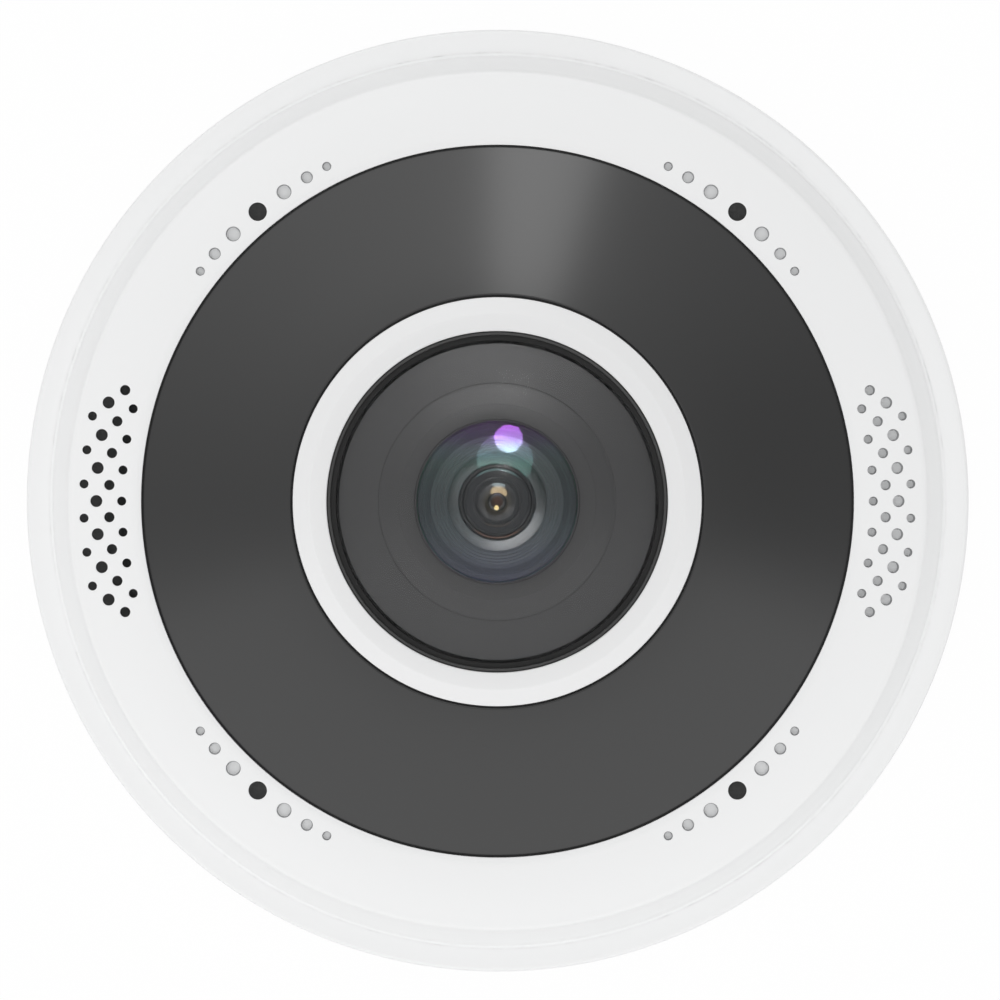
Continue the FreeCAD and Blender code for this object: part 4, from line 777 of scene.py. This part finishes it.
def make_dome_seal():
    """Black seal between bezel and dome, with a raised outer lip and a lower inner band in painted
    shade.
    """
    inner, lip_inner, lip_outer = 24.7, 25.6, 26.1
    band_top, lip_low, lip_high = 33.85, 34.25, 34.35
    outline = rounded([
        (inner, FLANGE_TOP), (FLANGE_RADIUS, FLANGE_TOP), (FLANGE_RADIUS, SEAL_TOP),
        (lip_outer, SEAL_TOP), (lip_outer, lip_high, 0.12), (lip_inner, lip_low, 0.12),
        (lip_inner, band_top), (inner, band_top, 0.15)])
    seal = dress(turned("dome_seal_ring", outline), finishes["black_rubber"], "black_rubber",
                 "camera", "dome_seal")
    # The inner band gets painted shade: a darker, duller rubber
    seal.data.materials.append(finishes["seal_band_painted_shade"])
    for face in seal.data.polygons:
        if Vector(face.center[:2]).length < (lip_inner - 0.05) * MM:
            face.material_index = 1


def make_dome():
    """Tinted dome with its wall and flange."""
    inner_radius = DOME_RADIUS - DOME_WALL
    inner_top = DOME_TOP - DOME_WALL
    skirt = DOME_SPRING - 0.4
    rings = 40
    outer = cap_radius(DOME_RADIUS, DOME_TOP - DOME_SPRING)
    inner = cap_radius(inner_radius, inner_top - DOME_SPRING)
    outline = [(0, inner_top)]
    outline += bow((0, inner_top), (inner_radius, DOME_SPRING), inner, rings)
    outline += [(inner_radius, skirt), (HOOD_RADIUS, skirt), (HOOD_RADIUS, CARRIER_TOP),
                (FLANGE_RADIUS, CARRIER_TOP), (FLANGE_RADIUS, FLANGE_TOP),
                (DOME_RADIUS, FLANGE_TOP), (DOME_RADIUS, DOME_SPRING)]
    outline += bow((DOME_RADIUS, DOME_SPRING), (0, DOME_TOP), -outer, rings)
    dome = dress(turned("dome_bubble", outline), finishes["tinted_dome"], "tinted_dome", "camera",
                 "dome_cover")
    dome.data.materials.append(finishes["dome_inside"])
    for face in dome.data.polygons:
        if face.normal.dot(face.center - Vector((0, 0, CARRIER_TOP * MM))) < 0:
            face.material_index = 1
    return dome


def make_hood():
    """Black shroud inside the dome: a cone with one fine groove, flatter round the lens."""
    outer_slope, inner_slope, edge_radius, edge_level, bore = 0.375, 0.3, 15.1, 36.9, 12.62
    groove_outer, groove_inner, groove = 18.25, 17.85, 0.12
    foot, wall_foot, wall = 19.55, 21.5, 0.6

    def level(radius):
        return edge_level + (edge_radius - radius) * outer_slope

    inner_level = edge_level + (edge_radius - bore) * inner_slope
    soft_edge = edge_radius + 0.12
    outline = [(foot, CARRIER_TOP), (HOOD_RADIUS, CARRIER_TOP), (HOOD_RADIUS, level(HOOD_RADIUS)),
               (groove_outer, level(groove_outer), 0.05),
               (groove_outer, level(groove_outer) - groove, 0.03),
               (groove_inner, level(groove_inner) - groove, 0.03),
               (groove_inner, level(groove_inner), 0.05),
               (soft_edge, level(soft_edge), 0.05), (edge_radius, edge_level + 0.06, 0.05),
               (bore, inner_level, 0.1), (bore, inner_level - 1.0),
               (wall_foot, CARRIER_TOP + wall), (foot, CARRIER_TOP + wall)]
    return dress(turned("dome_shroud", rounded(outline)), finishes["black_plastic"],
                 "black_plastic", "camera", "inner_hood")


# Fisheye lens as it shows from in front

def make_lens_ring():
    """Thin retaining ring flush with the edge of the front glass."""
    outline = rounded([
        (GLASS_RADIUS, TUBE_TOP), (LENS_RADIUS, TUBE_TOP), (LENS_RADIUS, TUBE_TOP + 0.08, 0.05),
        (GLASS_RADIUS, TUBE_TOP + 0.13, 0.03)])
    dress(turned("lens_retainer", outline), finishes["black_plastic"], "lens_metal", "camera",
          "lens_front_ring")


def make_lens_tube():
    """Barrel wall round the front glass."""
    foot = 35.2
    outline = [(GLASS_RADIUS, foot), (LENS_RADIUS, foot), (LENS_RADIUS, TUBE_TOP),
               (GLASS_RADIUS, TUBE_TOP)]
    dress(turned("lens_tube", outline), finishes["lens_black"], "lens_metal", "camera",
          "lens_barrel")


def make_front_glass():
    """Bulging front element with its coating: the reflection is real, its colour across Y is
    painted.
    """
    rings = 32
    hollow_radius, hollow_top = 8.2, GLASS_TOP - 1.8
    outline = [(0, hollow_top)]
    outline += bow((0, hollow_top), (hollow_radius, GLASS_SEAT),
                   cap_radius(hollow_radius, hollow_top - GLASS_SEAT), rings)
    outline += [(GLASS_RADIUS, GLASS_SEAT), (GLASS_RADIUS, GLASS_EDGE)]
    outline += bow((GLASS_RADIUS, GLASS_EDGE), (0, GLASS_TOP),
                   -cap_radius(GLASS_RADIUS, GLASS_TOP - GLASS_EDGE), rings)
    glass = turned("front_glass", outline)
    dress(glass, finishes["lens_glass"], "lens_glass", "camera", "lens_front_element")
    glass.data.materials.append(front_coat)
    for face in glass.data.polygons:
        if face.normal.z > 0.2 and face.center.z > GLASS_EDGE * MM:
            face.material_index = 1
    return glass


# Treads of the light trap, from outside in: outer and inner radius of each flat tread. A slope
# joins two treads.
TRAP_TREADS = [(12.15, 11.95), (11.33, 11.1), (10.2, 9.6), (9.33, 9.14), (8.87, 8.69),
               (8.41, 8.23), (7.93, 7.6)]
TRAP_SHADE = 10.3


def make_light_trap():
    """Funnel of fine steps under the front glass, with painted shade on its slopes and near its
    edge, deepest where both meet.
    """
    top, bottom = GLASS_SEAT - 0.05, STEPS_BOTTOM + 0.15
    fall = (top - bottom) / (len(TRAP_TREADS) - 1)
    tread_facing = 0.995
    outline = [(STEPS_INNER, STEPS_BOTTOM), (TRAP_TREADS[0][0], STEPS_BOTTOM)]
    for index, (outer, inner) in enumerate(TRAP_TREADS):
        level = top - index * fall
        outline += [(outer, level, 0.02), (inner, level, 0.02)]
    trap = dress(turned("lens_light_trap", rounded(outline)), finishes["lens_metal"], "lens_metal",
                 "camera", "lens_baffle")
    trap.data.materials.append(finishes["lens_shade"])
    trap.data.materials.append(finishes["lens_deep_shade"])
    for face in trap.data.polygons:
        far_out = Vector(face.center[:2]).length > TRAP_SHADE * MM
        face.material_index = (face.normal.z < tread_facing) + far_out


def make_second_ring():
    """Satin ring round the black disc, a shallow funnel that catches the light."""
    outline = rounded([
        (BLACK_DISC, CELL_TOP), (STEPS_INNER, CELL_TOP), (STEPS_INNER, STEPS_BOTTOM, 0.05),
        (BLACK_DISC, STEPS_BOTTOM - 0.7, 0.05)])
    return dress(turned("lens_satin_ring", outline), finishes["lens_ring_grey"], "lens_ring_grey",
                 "camera", "lens_second_ring")


def make_second_glass():
    """Second element: a strongly curved dark glass with a hole for the pupil."""
    ball, edge, hole_edge = 5.0, 3.4, 1.42
    centre = SHOULDER_TOP - math.sqrt(ball * ball - edge * edge)
    hole_top = centre + math.sqrt(ball * ball - hole_edge * hole_edge)
    outline = [(hole_edge, CELL_FLOOR), (edge, CELL_FLOOR), (edge, SHOULDER_TOP)]
    outline += bow(outline[-1], (hole_edge, hole_top), -ball, 24)
    return dress(turned("second_glass", outline), finishes["inner_glass"], "lens_glass", "camera",
                 "lens_second_element")


def make_shoulder():
    """Flat black shoulder round the second element."""
    inner, outer = 3.42, 4.8
    outline = rounded([(inner, CELL_FLOOR), (outer, CELL_FLOOR), (outer, SHOULDER_TOP, 0.05),
                       (inner, SHOULDER_TOP, 0.05)])
    dress(turned("lens_shoulder", outline), finishes["lens_black"], "lens_metal", "camera")


def make_cell():
    """Black cell of the inner elements, with a raised lip round them."""
    bore, lip_inner, lip_outer, lip_top, under = 1.6, 5.7, 5.85, 35.4, 34.2
    outline = rounded([
        (bore, under), (STEPS_INNER, under), (STEPS_INNER, CELL_TOP), (lip_outer, CELL_TOP),
        (lip_outer, lip_top, 0.05), (lip_inner, lip_top, 0.05), (lip_inner, CELL_FLOOR),
        (bore, CELL_FLOOR)])
    dress(turned("lens_cell", outline), finishes["lens_black"], "lens_metal", "camera",
          "lens_stop")


def make_bevel_ring(name, outer, inner, low, level):
    """A fine glossy ring whose top leans outwards."""
    fall = (outer - inner) * math.tan(math.radians(25))
    outline = [(inner, low), (outer, low), (outer, level - fall), (inner, level)]
    return dress(turned(name, outline), finishes["lens_gloss"], "lens_metal", "camera")


def make_pupil_glass():
    """Bead of glass deep in the pupil."""
    low, ball = 35.85, 2.4
    edge = low + 0.3
    rise = ball - math.sqrt(ball * ball - PUPIL_RADIUS * PUPIL_RADIUS)
    outline = [(0, low), (PUPIL_RADIUS, low), (PUPIL_RADIUS, edge)]
    outline += bow((PUPIL_RADIUS, edge), (0, edge + rise), -ball, 14)
    return dress(turned("pupil_glass", outline), finishes["pupil_glass"], "lens_glass", "camera")


make_front_cover()
make_rear_housing()
smoked_window = make_window()
make_bezel()
make_dome_seal()
dome_bubble = make_dome()
hood = make_hood()
make_lens_ring()
front_glass = make_front_glass()
make_light_trap()
satin_ring = make_second_ring()
second_glass = make_second_glass()
make_cell()
make_lens_tube()
make_shoulder()
inner_bevel = make_bevel_ring("inner_bevel", 5.18, 4.86, CELL_FLOOR, 35.25)
outer_bevel = make_bevel_ring("outer_bevel", 5.64, 5.4, CELL_FLOOR, 35.4)
middle_bevel = make_bevel_ring("middle_bevel", 3.85, 3.68, 35.1, 35.22)
pupil_glass = make_pupil_glass()

# CAD nodes that stay get the finish of their slot

shown = [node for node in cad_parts.values() if not node.hide_render]
for node in shown:
    for index, material in enumerate(node.data.materials):
        slot = material.name.split(".")[0]
        if slot in finishes:
            node.data.materials[index] = finishes[slot]


# The floor, white to the camera

def white_backdrop(name, share):
    """A floor that reads white and still takes a faint shadow."""
    material = bpy.data.materials.new(name)
    material.use_nodes = True
    tree = material.node_tree
    tree.nodes.clear()
    plain = add_node(tree, "ShaderNodeBsdfDiffuse", {"Color": (0.92, 0.92, 0.92, 1)})
    glow = add_node(tree, "ShaderNodeEmission", {"Color": (1, 1, 1, 1), "Strength": 1.0})
    path = tree.nodes.new("ShaderNodeLightPath").outputs
    seen = work_out(tree, "MAXIMUM", path["Is Camera Ray"], path["Is Glossy Ray"])
    seen = work_out(tree, "MAXIMUM", seen, path["Is Transmission Ray"])
    mix = add_node(tree, "ShaderNodeMixShader", {
        "Fac": work_out(tree, "MULTIPLY", seen, share),
        1: plain.outputs["BSDF"], 2: glow.outputs["Emission"]})
    add_node(tree, "ShaderNodeOutputMaterial", {"Surface": mix.outputs["Shader"]})
    return material


FLOOR_HALF = 6.0
bpy.ops.object.select_all(action="DESELECT")
bpy.ops.mesh.primitive_plane_add(size=2 * FLOOR_HALF)
floor = bpy.context.object
floor.name = "floor"
floor.data.materials.append(white_backdrop("white_floor", 0.97))

# The surroundings: white to the camera, brighter and darker walls in the gloss, and a soft light
# for the rest. Each wall: azimuth in degrees and brightness.

WALLS = [
    (0, 1.0), (20, 1.05), (32, 1.25), (50, 1.5), (66, 1.8), (90, 2.8), (105, 2.6), (125, 2.35),
    (150, 1.85), (165, 1.55), (182, 1.3), (192, 1.5), (202, 2.3), (336, 2.3), (344, 1.7),
    (351, 1.1), (360, 1.0),
]
WALL_SCALE = 3.0
FRONT_GLOSS = 1.35
SOFT_LOW = 0.3
SOFT_SHARE = 0.13
SOFT_HORIZON = 1.0


def studio_world():
    """Makes the world that stands for the studio round the camera."""
    world = bpy.data.worlds.new("studio")
    bpy.context.scene.world = world
    world.cycles.sampling_method = "NONE"
    world.use_nodes = True
    tree = world.node_tree
    tree.nodes.clear()
    way = tree.nodes.new("ShaderNodeTexCoord").outputs["Generated"]
    apart = add_node(tree, "ShaderNodeSeparateXYZ", {"Vector": way}).outputs
    azimuth = work_out(tree, "ARCTAN2", apart["Y"], apart["X"])
    share = work_out(tree, "FRACT", work_out(tree, "DIVIDE", azimuth, math.tau), 0)
    shade = colour_band(tree, share, [(a / 360, (v / WALL_SCALE,) * 3) for a, v in WALLS])
    walls = work_out(tree, "MULTIPLY", first_channel(tree, shade), WALL_SCALE)
    front = add_node(tree, "ShaderNodeMapRange", {
        "Value": apart["Z"], "From Min": 0.8, "From Max": 0.95}).outputs["Result"]
    gloss = blend(tree, front, walls, FRONT_GLOSS)
    low = add_node(tree, "ShaderNodeMapRange", {
        "Value": apart["Z"], "From Min": 0.0, "From Max": 0.35, "To Min": SOFT_HORIZON,
        "To Max": 0.0}).outputs["Result"]
    soft = work_out(tree, "ADD", work_out(tree, "MULTIPLY", walls, SOFT_SHARE), low)
    soft = work_out(tree, "ADD", soft, SOFT_LOW)
    path = tree.nodes.new("ShaderNodeLightPath").outputs
    shiny = work_out(tree, "MAXIMUM", path["Is Glossy Ray"], path["Is Transmission Ray"])
    light = blend(tree, shiny, soft, gloss)
    sky = add_node(tree, "ShaderNodeBackground", {
        "Color": (1, 1, 1, 1), "Strength": blend(tree, path["Is Camera Ray"], light, 1.0)})
    add_node(tree, "ShaderNodeOutputWorld", {"Surface": sky.outputs["Background"]})


studio_world()

# Lamps

AIM = Vector((0, 0, 0.03))


def group_of(name, members):
    """A collection that only says which pieces a lamp lights or which can shade it."""
    made = bpy.data.collections.new(name)
    for member in members:
        made.objects.link(member)
    return made


def lamp(name, place, width, height, radiance, shape="RECTANGLE", only=None, colour=(1, 1, 1),
         facing=None):
    """A soft lamp at a place, facing the middle. With only given, it lights those pieces alone."""
    data = bpy.data.lights.new(name, "AREA")
    data.shape = shape
    data.size = width
    data.size_y = height
    data.color = colour
    area = width * height * (math.pi / 4 if shape == "ELLIPSE" else 1)
    data.energy = radiance * math.pi * area
    made = bpy.data.objects.new(name, data)
    bpy.context.scene.collection.objects.link(made)
    back = facing or Vector(place) - AIM
    turn = back.to_track_quat("Z", "Y").to_matrix().to_4x4()
    made.matrix_world = Matrix.Translation(place) @ turn
    made.visible_camera = False
    if only:
        made.light_linking.receiver_collection = group_of(name + "_lit", only)
    return made


def direction(azimuth, from_axis):
    """The unit direction at an azimuth and an angle from the lens axis, both in degrees."""
    out, turn = math.radians(from_axis), math.radians(azimuth)
    return Vector((math.sin(out) * math.cos(turn), math.sin(out) * math.sin(turn), math.cos(out)))


# The key light: a wide soft lamp in front, a little to the lower left

KEY_DISTANCE = 2.5
KEY_SIZE = 4.4
KEY_RADIANCE = 0.77
key = lamp("key", AIM + direction(245, 9) * KEY_DISTANCE, KEY_SIZE, KEY_SIZE, KEY_RADIANCE,
           "ELLIPSE")
key.visible_glossy = False

PANEL_DISTANCE = 1.2


def panel(name, start, end, low, high, radiance, only):
    """An upright lamp over a range of azimuth and elevation, seen in the gloss of some pieces."""
    middle, half = math.radians((start + end) / 2), math.radians((end - start) / 2)
    bottom = PANEL_DISTANCE * math.tan(math.radians(low))
    top = PANEL_DISTANCE * math.tan(math.radians(high))
    outward = Vector((math.cos(middle), math.sin(middle), 0))
    place = outward * PANEL_DISTANCE + Vector((0, 0, AIM.z + (bottom + top) / 2))
    made = lamp(name, place, 2 * PANEL_DISTANCE * math.tan(half), top - bottom, radiance,
                only=only, facing=outward)
    made.visible_diffuse = False


panel("window_strip", 73.5, 91.5, 26, 60, 3.4, [smoked_window])
panel("dome_strip", 74, 91, 3, 26, 12, [dome_bubble])
panel("hood_strip", 58, 118, 20, 66, 3.0, [hood])

# Small lamps that show as coloured lights in the lens: name, azimuth and angle from the axis, half
# angles across and along the radius, radiance, colour and the piece that shows them

LAMP_DISTANCE = 2.0
LENS_CENTRE = Vector((0, 0, 0.0246))
LENS_LIGHTS = [
    ("violet_disc", 80, 59.0, 10.9, 14.1, 33, (1, 1, 1), front_glass),
    ("pale_disc", 79.5, 38.1, 23.4, 26.3, 5.5, (1, 1, 1), front_glass),
    ("ring_glow", 120, 45, 30, 22, 2.0, (1, 0.98, 0.96), satin_ring),
    ("teal_arc", 90, 50, 38, 10, 8, (0.5, 1, 0.98), inner_bevel),
    ("brown_arc", 90, 50, 38, 10, 1.6, (1, 0.85, 0.75), outer_bevel),
    ("orange_arc", 270, 50, 38, 8, 5, (1, 0.4, 0.2), outer_bevel),
    ("faint_arc", 270, 50, 25, 8, 2.2, (1, 0.6, 0.3), middle_bevel),
    ("amber_blob", 80, 37, 28, 20, 11, (1, 0.74, 0.4), second_glass),
    ("blue_glow", 85, 64, 20, 11, 6, (0.75, 0.95, 1), second_glass),
    ("gold_spark", 264, 46, 15, 21, 26, (1, 0.78, 0.36), pupil_glass),
    ("brown_glow", 90, 22, 25, 20, 0.6, (1, 0.5, 0.3), pupil_glass),
    ("violet_edge", 90, 60, 40, 4, 4, (0.8, 0.7, 1), pupil_glass),
]
for name, azimuth, from_axis, across, along, radiance, colour, lit in LENS_LIGHTS:
    width = 2 * LAMP_DISTANCE * math.tan(math.radians(across))
    height = 2 * LAMP_DISTANCE * math.tan(math.radians(along))
    made = lamp(name, LENS_CENTRE + direction(azimuth, from_axis) * LAMP_DISTANCE, width, height,
                radiance, "ELLIPSE", [lit], colour)
    made.visible_diffuse = False
    made.light_linking.blocker_collection = group_of(name + "_shade", [floor])

# Camera: straight in front, far away, through a long lens

CAMERA_DISTANCE = 6.0
CAMERA_TIP_X = math.radians(0.25)
CAMERA_TIP_Y = math.radians(0.5)
PIXELS_PER_MM = 6.49
SENSOR_WIDTH = 36.0
TARGET = Vector((0.000333, 0.000073, 0.011))
camera_data = bpy.data.cameras.new("front_camera")
camera_data.sensor_width = SENSOR_WIDTH
camera_data.lens = PIXELS_PER_MM * CAMERA_DISTANCE * SENSOR_WIDTH
camera_data.clip_end = 100.0
camera = bpy.data.objects.new("front_camera", camera_data)
bpy.context.scene.collection.objects.link(camera)
towards = Vector((math.sin(CAMERA_TIP_X), math.sin(CAMERA_TIP_Y), math.cos(CAMERA_TIP_Y)))
towards.normalize()
right = Vector((0, 1, 0)).cross(towards).normalized()
turn = Matrix((right, towards.cross(right), towards)).transposed()
camera.matrix_world = Matrix.Translation(TARGET + towards * CAMERA_DISTANCE) @ turn.to_4x4()
bpy.context.scene.camera = camera
bpy.context.scene.view_settings.view_transform = "Standard"
